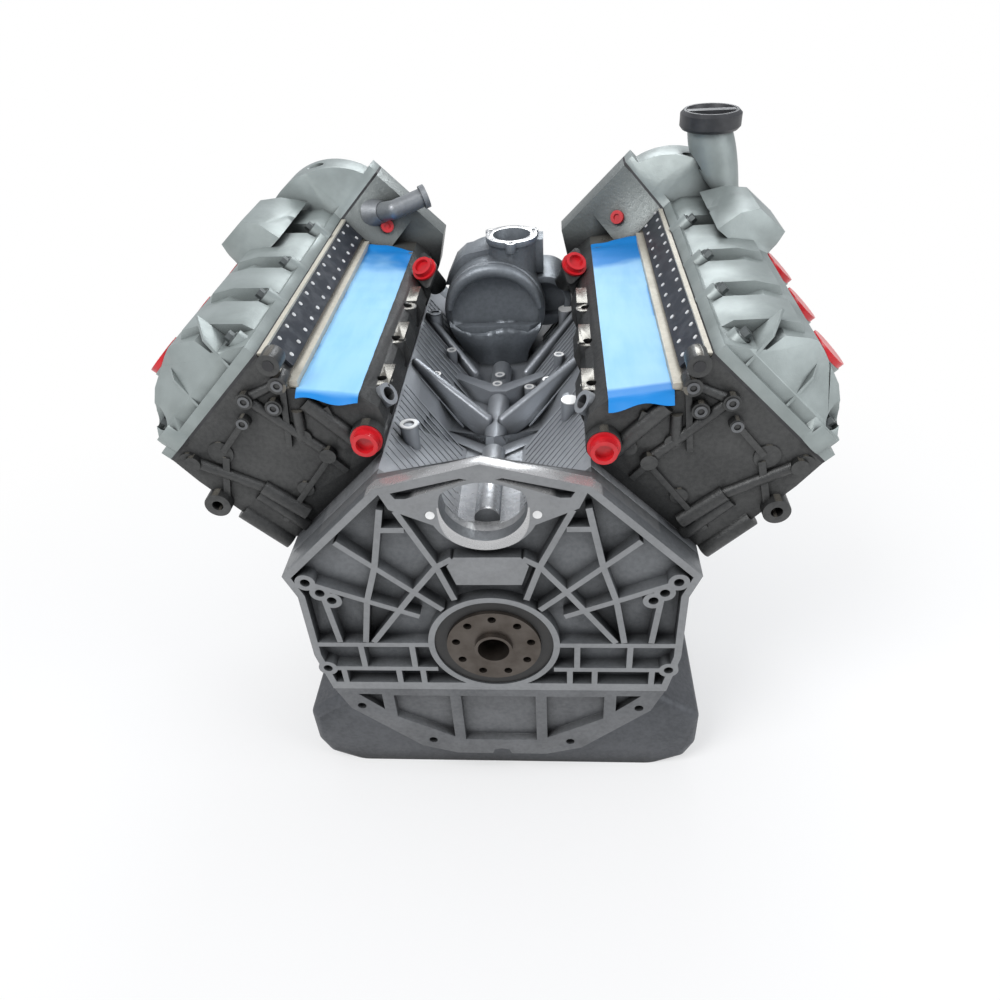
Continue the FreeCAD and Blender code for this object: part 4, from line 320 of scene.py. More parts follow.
def milled_head(finish):
    """The pads of the intake side, and the step between the ports and the wall above them, are machined
    bright.
    """
    pads = finish.looks("z", 1, 0.975) * finish.noise(60, 3).ramp(0.22, 0.42)
    ragged = finish.noise(70, 3) * 0.0022
    shelf = finish.within("z", 0.2915, 0.2996) * (abs(finish.along("x")) + ragged - 0.1835).ramp(0.0, 0.0012)
    inward = (abs(finish.along("x")) - 0.1900).ramp(0.0, -0.0006)
    return pads.most(shelf * inward)


def valley_skin(finish):
    """The walls of the valley are paler than the outside of the block."""
    return finish.along("z").ramp(0.143, 0.150) * abs(finish.along("x")).ramp(0.1125, 0.1060)


def chain_chest(finish):
    """The heads widen into the chain chest at the front, which is paler than the rest."""
    return finish.along("y").ramp(0.448, 0.458) * finish.along("z").ramp(0.27, 0.30)


def milled_tower(finish):
    """Only the flange on top of the coolant outlet is machined."""
    return finish.looks("z", 1, 0.98) * finish.along("z").ramp(0.3115, 0.3125)


print("height of the opening's centre, in metres:", OPENING_CENTRE)

# %% The castings of this engine
# each casting below gets painted shade in its pockets from the occlusion of its corners
wall_casting = casting("wall_casting", (0.205, 0.215, 0.225), (0.13, 0.137, 0.145), 0.42, bright_faces=milled_and_lit_wall)
# the block's valley floor near the opening takes a near-white painted pool of light
block_casting = casting("block_casting", (0.215, 0.225, 0.237), (0.135, 0.142, 0.152), 0.38, pocket=0.014,
                        pocket_shade=0.4, bright_faces=valley_light_pool, bright_tone=(0.68, 0.69, 0.70),
                        paler_part=(valley_skin, (0.44, 0.465, 0.495), (0.28, 0.295, 0.32)))
head_casting = casting("head_casting", (0.082, 0.083, 0.082), (0.042, 0.043, 0.043), 0.4, 1.3,
                       bright_faces=milled_head, bright_tone=(0.16, 0.15, 0.13),
                       paler_part=(chain_chest, (0.22, 0.24, 0.235), (0.15, 0.165, 0.16)))
sump_casting = casting("sump_casting", (0.115, 0.12, 0.13), (0.07, 0.074, 0.08), 0.5)
pan_casting = casting("pan_casting", (0.17, 0.175, 0.182), (0.105, 0.108, 0.113), 0.46)
# the recess of the coolant housing is darkened by strong painted shade
coolant_casting = casting("coolant_casting", (0.27, 0.295, 0.32), (0.17, 0.186, 0.205), 0.42, pocket=0.04,
                          pocket_shade=0.5, bright_faces=milled_tower, bright_tone=(0.60, 0.60, 0.60))
pipe_casting = casting("pipe_casting", (0.30, 0.315, 0.33), (0.20, 0.21, 0.22), 0.4, pocket=0.02)
print("castings:", [finish.name for finish in bpy.data.materials if finish.name.endswith("casting")])

# %% [markdown]
# ## The satin cover coat
# The camshaft covers carry a thin grey-green conversion coat: smoother than bare casting, with a faint
# sheen. A clear coat over the shader could stand for it, but that shines like varnish. A lower metal value
# and a soft orange peel look more like this coat, which is thin enough to let the grain of the casting
# through.

# %% Covers
cover = Finish("cover_coat")
cover_patch, cover_grain = cover.noise(23, 3), cover.noise(900, 2)
# painted shade: in the covers' corners and pockets the occlusion darkens the coat to near black
cover_open = cover.hollows(0.03).ramp(0.2, 0.9)
cover_skin = cover.mix(cover_patch.ramp(0.3, 0.7), (0.33, 0.37, 0.362), (0.255, 0.288, 0.28))
cover.set(Base_Color=cover.mix(cover_open, (0.035, 0.04, 0.04), cover_skin), Metallic=0.35,
          Roughness=cover_patch * 0.12 + cover_grain * 0.08 + 0.36)
cover.relief((cover.noise(260, 3), 0.0005, 0.35), (cover_grain, 0.00014, 0.5))
cover_coat = cover.material
print("cover coat:", cover_coat.name)

# %% [markdown]
# ## Machined faces, steel and the dark parts
# A milled or turned face shows feed marks. The shader's own anisotropy could draw out the gloss, but it
# shows no marks close up, so the noise is stretched along one axis instead. The crankshaft is brown with
# preserving oil.

# %% Machined metal and steel
def machined(name, colour, stretch, roughness=0.3, metal=0.95):
    """Bare metal with feed marks that run along the axis whose stretch is small."""
    finish = Finish(name)
    feed, patch = finish.noise(700, 2, stretch=stretch), finish.noise(30, 3)
    tint = tuple(channel * 0.78 for channel in colour)
    finish.set(Base_Color=finish.mix(patch.ramp(0.35, 0.75), colour, tint), Metallic=metal,
               Roughness=feed * 0.12 + patch * 0.1 + (roughness - 0.08))
    finish.relief((feed, 0.00012, 0.5))
    return finish.material


milled_aluminium = machined("milled_aluminium", (0.66, 0.66, 0.66), (0.06, 1, 1))
zinc_steel = machined("zinc_steel", (0.42, 0.43, 0.44), (1, 1, 0.2), 0.34)
grey_steel = machined("grey_steel", (0.15, 0.165, 0.165), (1, 1, 0.2), 0.4, 0.7)
plain_steel = machined("plain_steel", (0.36, 0.36, 0.37), (1, 0.1, 1), 0.32)
dark_steel = machined("dark_steel", (0.16, 0.16, 0.17), (1, 0.1, 1), 0.4)
bearing_steel = machined("bearing_steel", (0.55, 0.52, 0.46), (1, 0.05, 1), 0.22)

crank = Finish("oiled_crank_steel")
crank_stain, crank_turned = crank.noise(38, 5), crank.noise(420, 2, stretch=(1, 0.1, 1))
crank.set(Base_Color=crank.mix(crank_stain.ramp(0.3, 0.75), (0.115, 0.100, 0.088), (0.075, 0.062, 0.052)),
          Metallic=0.85, Roughness=crank_stain * 0.12 + crank_turned * 0.1 + 0.28)
crank.relief((crank_turned, 0.0002, 0.4))
crank_steel = crank.material
print("steels:", [made.name for made in bpy.data.materials if "steel" in made.name])

# %% [markdown]
# ## Rubber, plastic and gaskets
# Seals, caps and plugs are moulded and not metal at all. One recipe serves them: a colour, a shade that
# mottles it, and a fine peel from the mould. Only the red plugs get a thin coat, because new plastic
# shines. The cream gasket edge is rough and pocketed, so the casting's recipe does it better.

# %% Rubber and plastic
def moulded(name, colour, shade, roughness, peel=0.00012, coat=0.0):
    """Moulded stuff whose colour drifts a little towards its shade."""
    finish = Finish(name, Coat_Weight=coat, Coat_Roughness=0.2)
    mottle, skin = finish.noise(60, 3), finish.noise(1300, 2)
    finish.set(Base_Color=finish.mix(mottle.ramp(0.35, 0.7), colour, shade),
               Roughness=mottle * 0.14 + skin * 0.08 + (roughness - 0.1))
    finish.relief((skin, peel, 0.5))
    return finish.material


black_rubber = moulded("black_rubber", (0.022, 0.022, 0.024), (0.04, 0.04, 0.042), 0.55)
seal_rubber = moulded("seal_rubber", (0.012, 0.012, 0.012), (0.020, 0.019, 0.018), 0.5)
black_plastic = moulded("black_plastic", (0.028, 0.029, 0.032), (0.045, 0.046, 0.05), 0.42, 0.0002)
red_plastic = moulded("red_plastic", (0.62, 0.012, 0.02), (0.50, 0.008, 0.015), 0.33, 0.00006, 0.2)
guide_plastic = moulded("guide_plastic", (0.07, 0.07, 0.07), (0.05, 0.05, 0.05), 0.4)
# painted shade darkens the pockets of the gasket edge, as in the castings
cream_edge = casting("cream_edge", (0.62, 0.585, 0.50), (0.45, 0.42, 0.35), 0.5, 1.6, 0.2, pocket=0.006,
                     pocket_shade=0.5)
plug_ceramic = moulded("plug_ceramic", (0.80, 0.80, 0.78), (0.72, 0.72, 0.70), 0.18)
print("moulded:", black_rubber.name, seal_rubber.name, black_plastic.name, red_plastic.name)

# %% [markdown]
# ## Film and plate
# The blue film is deep blue where it is loose, and pale where it is stretched over the ports: that pale blue
# is a painted reflection. A clear shader over a white one would give it with real light, but a colour that
# follows the place where the film is loose holds in every light. The dark plate above it is sheet metal with
# dust on it.

# %% Blue film and dark plate
def film_ends(finish):
    """1 where the film is loose: near its two ends, and in patches along its outer edge."""
    along, across = finish.along("y"), abs(finish.along("x"))
    patches = finish.noise(11, 3)
    rear, front = along.ramp(0.078, 0.050), along.ramp(0.32, 0.40)
    edge = (across - 0.118).ramp(0.050, 0.066) * patches.ramp(0.46, 0.60)
    return rear.most(front * (patches * 1.5)).most(edge).ramp(0.3, 0.72)


film = Finish("blue_film", Specular_IOR_Level=0.3)
stretch_marks, crease = film.noise(55, 3, stretch=(1, 0.22, 1)), film.noise(24, 2, stretch=(1, 0.35, 1))
# painted reflection: the pale blues of the stretched film stand for the light it reflects; the deep blue of
# the loose parts is its own colour
pale_reflection = film.mix(stretch_marks.ramp(0.3, 0.8), (0.29, 0.58, 0.87), (0.23, 0.52, 0.83))
film.set(Base_Color=film.mix(film_ends(film), pale_reflection, (0.008, 0.22, 0.62)),
         Roughness=stretch_marks * 0.12 + 0.45)
film.relief((stretch_marks, 0.0008, 0.3), (crease, 0.003, 0.25))
blue_film = film.material

plate = Finish("dark_plate", Metallic=0.6)
plate_dust = plate.noise(80, 4)
plate.set(Base_Color=plate.mix(plate_dust.ramp(0.4, 0.7), (0.040, 0.046, 0.058), (0.085, 0.092, 0.105)),
          Roughness=plate_dust * 0.2 + 0.3)
plate.relief((plate.noise(900, 2), 0.0002, 0.4))
dark_plate = plate.material
print("film and plate:", blue_film.name, dark_plate.name)

# %% [markdown]
# ## Which finish goes where
# Each CAD piece takes one finish by its name. Slots set by hand would do for a few pieces, but with so many
# a list that reads like a parts card is easier to check, and pieces of a kind share one line.

# %% Give the CAD pieces their finishes
FINISHES = {
    "rear_arch": wall_casting, "bell_housing_wall": wall_casting, "cylinder_block": block_casting,
    "crankshaft": crank_steel, "rear_main_seal": seal_rubber, "main_bearing_caps": block_casting,
    "main_bearing_shells": bearing_steel, "upper_sump": pan_casting, "lower_sump": sump_casting,
    "drain_plug": zinc_steel, "piston": milled_aluminium, "cylinder_head": head_casting,
    "head_gasket": dark_steel, "cam_cover_gasket": black_rubber, "cam_cover_bolts": grey_steel,
    "cam_cover": cover_coat, "timing_chain": dark_steel, "camshaft": plain_steel,
    "cam_sprocket": dark_steel, "port_film": blue_film, "injector_plate": dark_plate,
    "exhaust_valves": plain_steel, "intake_valves": plain_steel, "tappets": plain_steel,
    "valve_springs": zinc_steel, "cam_bearing_caps": milled_aluminium, "spark_plugs": plug_ceramic,
    "crank_sprocket": dark_steel, "coil_well_caps": red_plastic, "front_timing_cover": coolant_casting,
    "crankshaft_pulley": black_rubber, "crankshaft_bolt": zinc_steel, "chain_guides": guide_plastic,
    "coolant_outlet_housing": coolant_casting, "rear_coolant_plugs": red_plastic,
    "front_coolant_plugs": red_plastic, "oil_filler_neck": cover_coat, "oil_filler_cap": black_plastic,
    "coolant_elbow": pipe_casting,
}


def finish_of(node):
    """The finish whose key is the longest that the node's name starts with."""
    key = max((key for key in FINISHES if node.startswith(key)), key=len)
    return FINISHES[key]


for node, piece in NODES.items():
    piece.data.materials.clear()
    piece.data.materials.append(finish_of(node))
print("finished pieces:", len(NODES))

# %% [markdown]
# ## Soft edges on the castings
# Nothing that comes out of a mould has a knife edge. Fillets in the CAD model could give that, at the price
# of a slow and fragile solid. Here a copy of each casting's mesh gets its doubles merged and its flat
# triangles joined, and a Bevel modifier rounds every edge sharper than a set angle. The copy stands in for
# the CAD node.

# %% A merged copy
MERGE_REACH, FLAT_ANGLE = 0.00002, math.radians(1.5)


def merged_copy(nodes, seam=None):
    """One merged mesh from the meshes of some nodes; faces that lie in the seam's plane are inside and go."""
    work = bmesh.new()
    for node in nodes:
        work.from_mesh(NODES[node].data)
    bmesh.ops.remove_doubles(work, verts=work.verts, dist=MERGE_REACH)
    if seam is not None:
        inside = [face for face in work.faces if all(abs(vert.co.z - seam) < 0.00001 for vert in face.verts)]
        bmesh.ops.delete(work, geom=inside, context="FACES_ONLY")
    bmesh.ops.dissolve_limit(work, angle_limit=FLAT_ANGLE, verts=work.verts, edges=work.edges)
    mesh = bpy.data.meshes.new(nodes[0])
    work.to_mesh(mesh)
    work.free()
    mesh.materials.append(finish_of(nodes[0]))
    return mesh


print("corners closer than", MERGE_REACH / MM, "mm become one")

# %% [markdown]
# ## Three small corrections of the block
# The arch over the rear opening sags and thins towards its middle, the rear cross rib is a low ridge, and
# the bores are honed round. Each could be sculpted by hand on the copy. A rule that moves the corners by
# where they stand does the same at every run, and says in figures what was changed.

# %% Move the corners of a copy
ARCH_FOOT, ARCH_CROWN, ARCH_DROP, ARCH_THINNING = 0.204, 0.240, 0.0145, 0.42
RIB_TOP, RIDGE_TOP = 0.172, 0.153
FIRST_BORE, BANK_STAGGER, BORE_SPACING = {RIGHT: 104, LEFT: 122}, 18, 102
BORE_FACETS, HONED_RADIUS, BORE_FOOT, DECK = (45.9, 46.4), 46.9, 60, 229
BANK_SLOPE = math.sqrt(0.5)    # sine of the banks' 45 degrees


def bank_place(side, across, along, height):
    """A place given in a bank's own frame, across and up its cylinders, in millimetres."""
    return Vector((side * (across + height) * BANK_SLOPE, along, (height - across) * BANK_SLOPE))


def step(value, low, high):
    """0 at low and 1 at high, with a soft step between."""
    share = min(max((value - low) / (high - low), 0), 1)
    return share * share * (3 - 2 * share)


def settle_arch(mesh):
    """The arch over the opening is lower and thinner in the middle than the straight bars it is cut from."""
    for corner in mesh.vertices:
        place = corner.co
        share = step(place.z, ARCH_FOOT, ARCH_CROWN) * (1 - step(abs(place.x), 0.030, 0.112))
        place.z -= ARCH_DROP * share
        place.y -= max(place.y - 0.002, 0) * ARCH_THINNING * share


def settle_rib(mesh):
    """The rear cross rib of the valley is no more than a low ridge where it stands on the floor."""
    for corner in mesh.vertices:
        if abs(corner.co.z - RIB_TOP) < 0.0004 and 0.14 < corner.co.y < 0.24:
            corner.co.z = RIDGE_TOP


def hone_bores(mesh):
    """Facets of a round bore stand a little inside it, so the copy's bores are opened by 0.65 mm."""
    for corner in mesh.vertices:
        x, y, z = corner.co / MM
        side = RIGHT if x > 0 else LEFT
        across, height = (side * x - z) * BANK_SLOPE, (side * x + z) * BANK_SLOPE
        cylinder = min(max(round((y - FIRST_BORE[RIGHT] - BANK_STAGGER / 2) / BORE_SPACING), 0), 3)
        axis = FIRST_BORE[side] + BORE_SPACING * cylinder
        reach = math.hypot(across, y - axis)
        if BORE_FACETS[0] < reach < BORE_FACETS[1] and BORE_FOOT < height < DECK:
            across, y = across * HONED_RADIUS / reach, axis + (y - axis) * HONED_RADIUS / reach
            corner.co = bank_place(side, across, y, height) * MM


print("the arch drops by", ARCH_DROP / MM, "mm; bores are honed to", HONED_RADIUS, "mm")

# %% Round and bake the copies
def new_piece(name, mesh, finish=None):
    """An object at the origin for a mesh."""
    if finish:
        mesh.materials.append(finish)
    piece = bpy.data.objects.new(name, mesh)
    bpy.context.collection.objects.link(piece)
    return piece


def rounded_copy(nodes, width, seam=None, angle=32):
    """A merged copy of one or more nodes with soft edges, standing for them."""
    copy = new_piece(f"{nodes[-1]}_cast", merged_copy(nodes, seam))
    if seam is not None:
        settle_arch(copy.data)
    if nodes[0] == "cylinder_block":
        settle_rib(copy.data)
        hone_bores(copy.data)
    bevel = copy.modifiers.new("soft_edges", "BEVEL")
    bevel.width, bevel.segments = width, 2
    bevel.limit_method, bevel.angle_limit = "ANGLE", math.radians(angle)
    bevel.use_clamp_overlap = True
    bevel.loop_slide = False
    return bake_modifiers(copy, angle)


def bake_modifiers(piece, angle=35):
    """Turns a piece's modifiers into plain mesh and smooths the faces that meet at less than the angle."""
    seen = piece.evaluated_get(bpy.context.evaluated_depsgraph_get())
    mesh = bpy.data.meshes.new_from_object(seen)
    piece.modifiers.clear()
    piece.data = mesh
    mesh.shade_smooth()
    mesh.set_sharp_from_angle(angle=math.radians(angle))
    return piece


ARCH_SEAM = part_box("rear_arch")[0][2]
CASTINGS = [
    (("rear_arch", "bell_housing_wall"), 1.1), (("cylinder_block",), 1.3), (("cylinder_head_right",), 1.5),
    (("cylinder_head_left",), 1.5), (("upper_sump",), 1.2), (("lower_sump",), 2.0),
    (("coolant_outlet_housing",), 2.0), (("front_timing_cover",), 2.0), (("cam_cover_right",), 1.6),
    (("cam_cover_left",), 1.6),
]
for nodes, width in CASTINGS:
    copy = rounded_copy(nodes, width * MM, ARCH_SEAM if len(nodes) > 1 else None)
    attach(copy, "engine")
    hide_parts(*nodes)
    print(*nodes, "faces:", len(copy.data.polygons))

# %% [markdown]
# ## Small things that repeat
# Boss tops, screws and the fine ribs of the valley repeat by the dozen. An Array modifier could repeat them
# along a line, but not on scattered bosses, so Geometry Nodes make them all. A tree takes its sizes from
# named inputs, which a modifier sets by the socket's identifier. It ends in Realize Instances and Set
# Material, and the result is baked to a plain mesh, so nothing stays an instance.

# %% A Geometry Nodes tree with named sizes
class Pattern(Graph):
    """A Geometry Nodes tree whose named inputs are made as they are asked for."""

    def __init__(self, name):
        super().__init__(bpy.data.node_groups.new(name, "GeometryNodeTree"))
        self.entry = self.tree.nodes.new("NodeGroupInput")
        self.names = {}
        self.points = self.size("Points", "Geometry")

    def size(self, name, kind="Float"):
        """A named input of the tree, as a signal."""
        item = self.tree.interface.new_socket(name, in_out="INPUT", socket_type=f"NodeSocket{kind}")
        self.names[name] = item.identifier
        return Signal(self, self.entry.outputs[name])

    def on_points(self, shape):
        """Puts a shape on every loose point, its Z turned to the point's way."""
        way = self.node("GeometryNodeInputNamedAttribute", {"data_type": "FLOAT_VECTOR"}, {"Name": "way"})
        turn = self.node("FunctionNodeAlignRotationToVector", {"axis": "Z"}, {"Vector": way})
        spots = {"Points": self.points, "Instance": shape, "Rotation": turn}
        return self.end(self.node("GeometryNodeInstanceOnPoints", {}, spots))

    def end(self, shape):
        """Realizes the instances, gives them the material of the Finish input and closes the tree."""
        self.tree.interface.new_socket("Result", in_out="OUTPUT", socket_type="NodeSocketGeometry")
        real = self.node("GeometryNodeRealizeInstances", {}, {"Geometry": shape})
        dressed = self.node("GeometryNodeSetMaterial", {},
                            {"Geometry": real, "Material": self.size("Finish", "Material")})
        self.tree.links.new(dressed.socket, self.tree.nodes.new("NodeGroupOutput").inputs["Result"])
        return self

    def make(self, name, points=((0, 0, 0),), way=(0, 0, 1), **sizes):
        """Runs the tree on loose points in millimetres, which all look the same way, and bakes the result."""
        mesh = bpy.data.meshes.new(name)
        mesh.from_pydata([Vector(point) * MM for point in points], [], [])
        ways = mesh.attributes.new("way", "FLOAT_VECTOR", "POINT")
        ways.data.foreach_set("vector", tuple(way) * len(points))
        piece = new_piece(name, mesh)
        modifier = piece.modifiers.new("pattern", "NODES")
        modifier.node_group = self.tree
        for size, value in sizes.items():
            modifier[self.names[size]] = value
        bake_modifiers(piece)
        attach(piece, "engine")
        print(name, "faces:", len(piece.data.polygons))
        return piece


print("a pattern knows:", [name for name in vars(Pattern) if not name.startswith("_")])

# %% Trees of rings, discs and screws
ROUND_SIDES = 20


def circle(tree, radius):
    """A circle as a curve, with few sides because it is small."""
    return tree.node("GeometryNodeCurvePrimitiveCircle", {"mode": "RADIUS"},
                     {"Resolution": ROUND_SIDES, "Radius": radius})


def ring(tree, radius, wall, height):
    """A flat ring: a rectangle swept round a circle."""
    path = circle(tree, radius)
    section = tree.node("GeometryNodeCurvePrimitiveQuadrilateral", {}, {"Width": wall, "Height": height})
    return tree.node("GeometryNodeCurveToMesh", {}, {"Curve": path, "Profile Curve": section})


def disc(tree, radius, height):
    """A short cylinder."""
    return tree.node("GeometryNodeMeshCylinder", {},
                     {"Vertices": ROUND_SIDES, "Radius": radius, "Depth": height})


def bar_between(tree, shape):
    """A shape swept along a straight line between the tree's From and To inputs."""
    line = tree.node("GeometryNodeCurvePrimitiveLine", {"mode": "POINTS"},
                     {"Start": tree.size("From", "Vector"), "End": tree.size("To", "Vector")})
    return tree.node("GeometryNodeCurveToMesh", {},
                     {"Curve": line, "Profile Curve": shape, "Fill Caps": True})


rings = Pattern("ring_tops")
rings.on_points(ring(rings, rings.size("Radius"), rings.size("Wall"), rings.size("Height")))
discs = Pattern("disc_tops")
discs.on_points(disc(discs, discs.size("Radius"), discs.size("Height")))

screws = Pattern("socket_screws")
screw_radius, screw_height = screws.size("Radius"), screws.size("Height")
both = screws.tree.nodes.new("GeometryNodeJoinGeometry")
for half in (ring(screws, screw_radius * 0.75, screw_radius * 0.5, screw_height),
             disc(screws, screw_radius * 0.6, screw_height * 0.4)):
    screws.tree.links.new(half.socket, both.inputs[0])
screws.on_points(Signal(screws, both.outputs[0]))
print("trees:", [tree.name for tree in bpy.data.node_groups])

# %% [markdown]
# ## Bosses of the valley
# Each boss in the valley has a milled top round its thread. Modelled one by one, no two would match. The
# tops differ only in place and size, so the trees put one ring and one cylinder on a handful of points.

# %% Boss tops
BOSS_TOPS = [(0, 304, 172), (-2, 281, 172), (38, 275, 170), (61, 255, 191), (75, 294, 204), (-63, 334, 193),
             (-73, 252, 203)]
bright_rim = machined("bright_rim", (0.86, 0.86, 0.85), (0.2, 1, 1), 0.4, 0.3)
discs.make("valley_bosses", [(x, y, top - 20) for x, y, top in BOSS_TOPS], Radius=6.4 * MM, Height=40 * MM,
           Finish=block_casting)
rings.make("valley_boss_tops", BOSS_TOPS, Radius=4.8 * MM, Wall=2.8 * MM, Height=1.4 * MM, Finish=bright_rim)
discs.make("wide_bosses", [(-84, 111, 200), (86, 160, 197), (85, 399, 196), (-88, 388, 200)], Radius=9.6 * MM,
           Height=40 * MM, Finish=block_casting)
rings.make("knock_boss_top", [(-84, 111, 221)], Radius=7.8 * MM, Wall=3.8 * MM, Height=1.4 * MM,
           Finish=bright_rim)
rings.make("far_boss_top", [(-88, 388, 221)], Radius=7.0 * MM, Wall=3.0 * MM, Height=1.4 * MM,
           Finish=block_casting)
discs.make("vent_boss_tops", [(86, 160, 218), (85, 399, 217)], Radius=9.6 * MM, Height=1.4 * MM,
           Finish=bright_rim)

# %% [markdown]
# ## Ribs of the valley
# Fine ribs climb both walls from the floor towards the front. A bump in the finish could hint at them, but
# it would leave the wall's edge straight. So a rib is a rectangle swept along a straight line, and a line
# of points repeats it.

# %% Wall ribs
RIB_STEP = 11.5
# each group's first rib, how many it has, and its foot and top as shares of the wall
WALL_RIBS = [(22, 13, 0.06, 0.97), (205, 12, 0.10, 0.80), (262, 14, 0.3, 0.97)]
ribs = Pattern("slanted_ribs")
section = ribs.node("GeometryNodeCurvePrimitiveQuadrilateral", {},
                    {"Width": ribs.size("Width"), "Height": ribs.size("Height")})
bar = bar_between(ribs, section)
row = ribs.node("GeometryNodeMeshLine", {"mode": "OFFSET"},
                {"Count": ribs.size("Count", "Int"), "Offset": ribs.size("Step", "Vector")})
ribs.end(ribs.node("GeometryNodeInstanceOnPoints", {}, {"Points": row, "Instance": bar}))


def wall_place(side, along, climb):
    """A place on a valley wall: climb is 0 at its foot and 1 at the deck."""
    return Vector((side * (32 + 72 * climb), along, 150 + 67 * climb)) * MM


for side, name in SIDE_NAME.items():
    for group, (first, count, low, high) in enumerate(WALL_RIBS):
        ribs.make(f"valley_ribs_{name}_{group}", From=wall_place(side, first, low), Width=1.3 * MM,
                  To=wall_place(side, first + 50 * (high - low), high), Height=1.8 * MM, Count=count,
                  Step=(0, RIB_STEP * MM, 0), Finish=block_casting)

# %% [markdown]
# ## Braces of the valley
# Two pairs of cast braces rise from the middle of the floor to the decks. A swept circle could make them,
# but they are wider at the foot. So each is a block sunk in the wall, whose edges a Bevel rounds.

# %% Braces
def brace(name, start, end, half_width, drop):
    """A cast ridge with a rounded top between two places, reaching down into the wall under it."""
    start, end = Vector(start) * MM, Vector(end) * MM
    out = (end - start).cross(Vector((0, 0, 1))).normalized() * half_width * MM
    down = Vector((0, 0, -drop * MM))
    section = [out * 1.5 + down, out * 0.8, -out * 0.8, -out * 1.5 + down]
    mesh = bpy.data.meshes.new(name)
    faces = [(3, 2, 1, 0), (4, 5, 6, 7)] + [(k, (k + 1) % 4, (k + 1) % 4 + 4, k + 4) for k in range(4)]
    mesh.from_pydata([place + part for place in (start, end) for part in section], [], faces)
    piece = new_piece(name, mesh, block_casting)
    work = bmesh.new()
    work.from_mesh(mesh)
    bmesh.ops.recalc_face_normals(work, faces=work.faces)
    work.to_mesh(mesh)
    work.free()
    bevel = piece.modifiers.new("soft_edges", "BEVEL")
    bevel.width, bevel.segments = 3.5 * MM, 3
    bake_modifiers(piece)
    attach(piece, "engine")
    print(name, "faces:", len(piece.data.polygons))


for side, name in SIDE_NAME.items():
    brace(f"valley_brace_{name}", (4 * side, 196, 174), (100 * side, 262, 221), 6, 34)
    brace(f"valley_far_brace_{name}", (30 * side, 322, 166), (100 * side, 392, 222), 5, 30)

# %% [markdown]
# ## The coolant housing's rear
# The housing's drum is closed at the back by a smooth dished wall under a rounded brow, with a wavy lip
# below it. Sculpting would give that too, but not the same twice. So the wall is a grid whose depth comes
# from a soft step at the lip, with a Solidify modifier on it, and the brow is a tube along an arc.

# %% Dished wall of the coolant housing
DRUM_X, DRUM_HEIGHT, DRUM_RADIUS = -8, 224, 61
WALL_TOP, WALL_FOOT, LIP = 286, 150, 201


def sheet_piece(name, lines, order, finish, thickness, angle):
    """A sheet with a thickness, from lines of places; order says how four neighbours make a face."""
    work = bmesh.new()
    grid = [[work.verts.new(place) for place in line] for line in lines]
    for near, far in zip(grid, grid[1:]):
        for k in range(len(near) - 1):
            corners = (near[k], near[k + 1], far[k + 1], far[k])
            work.faces.new([corners[index] for index in order])
    mesh = bpy.data.meshes.new(name)
    work.to_mesh(mesh)
    work.free()
    piece = new_piece(name, mesh, finish)
    skin = piece.modifiers.new("skin", "SOLIDIFY")
    skin.thickness, skin.offset = thickness * MM, -1
    bake_modifiers(piece, angle)
    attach(piece, "engine")
    return piece


def dished_line(height, columns=40):
    """A level line of places across the dished wall."""
    if height > DRUM_HEIGHT:
        half = math.sqrt(max(DRUM_RADIUS ** 2 - (height - DRUM_HEIGHT) ** 2, 4))
    else:
        half = DRUM_RADIUS - 21 * step(DRUM_HEIGHT - height, 10, 74)
    line = []
    for column in range(columns + 1):
        share = column / columns * 2 - 1
        edge = LIP + 3.5 * math.sin(share * 5 + 0.6) + 5 * share * share
        out = 1 - step(height, edge - 3, edge + 3)
        deep = 384 - 3 * share * share - 4 * step(height, 250, 284)
        flush = 366 + 9 * share * share + 6 * step(edge - height, 6, 50)
        line.append(Vector((DRUM_X + half * share, deep + (flush - deep) * out, height)) * MM)
    return line


BROW_RADIUS, BROW_WIDTH = 59, 9


def brow():
    """The rounded rim over the dished wall: a tube along an arc that thins out towards its two ends."""
    line = bpy.data.curves.new("coolant_brow", "CURVE")
    line.dimensions, line.use_fill_caps = "3D", True
    line.bevel_depth, line.bevel_resolution = BROW_WIDTH * MM, 5
    spline = line.splines.new("POLY")
    spline.points.add(36)
    for index, point in enumerate(spline.points):
        angle = math.radians(6 + 168 * index / 36)
        across, rise = BROW_RADIUS * math.cos(angle), BROW_RADIUS * math.sin(angle)
        place = Vector((DRUM_X + across, 377 - 4 * math.sin(angle), DRUM_HEIGHT + rise)) * MM
        point.co, point.radius = (*place, 1), 0.30 + 0.70 * math.sin(angle) ** 0.7
    piece = new_piece("coolant_brow", line)
    mesh = bpy.data.meshes.new_from_object(piece.evaluated_get(bpy.context.evaluated_depsgraph_get()))
    bpy.data.objects.remove(piece)
    mesh.shade_smooth()
    piece = new_piece("coolant_brow", mesh, coolant_casting)
    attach(piece, "engine")
    return piece


dish = [dished_line(WALL_TOP + (WALL_FOOT - WALL_TOP) * row / 44) for row in range(45)]
dished_wall = sheet_piece("coolant_dished_wall", dish, (0, 3, 2, 1), coolant_casting, 3, 50)
print("dished wall faces:", len(dished_wall.data.polygons), "brow faces:", len(brow().data.polygons))

# %% [markdown]
# ## The film over the intake ports
# The film is thin plastic, stuck down over the ports and loose at both ends: the rear end hangs over the
# edge of the head and the front end lifts. A cloth simulation could drape it, but a sheet that is stuck
# down hardly drapes. So it is a grid laid on the intake face, with low folds across it, and a small thickness
# closes it. It replaces the flat solid of the model. A pale gasket edge runs beside it.

# %% Loose-ended film
FILM_LOW, FILM_HIGH = (118.8, 282.8), (178.5, 290.5)


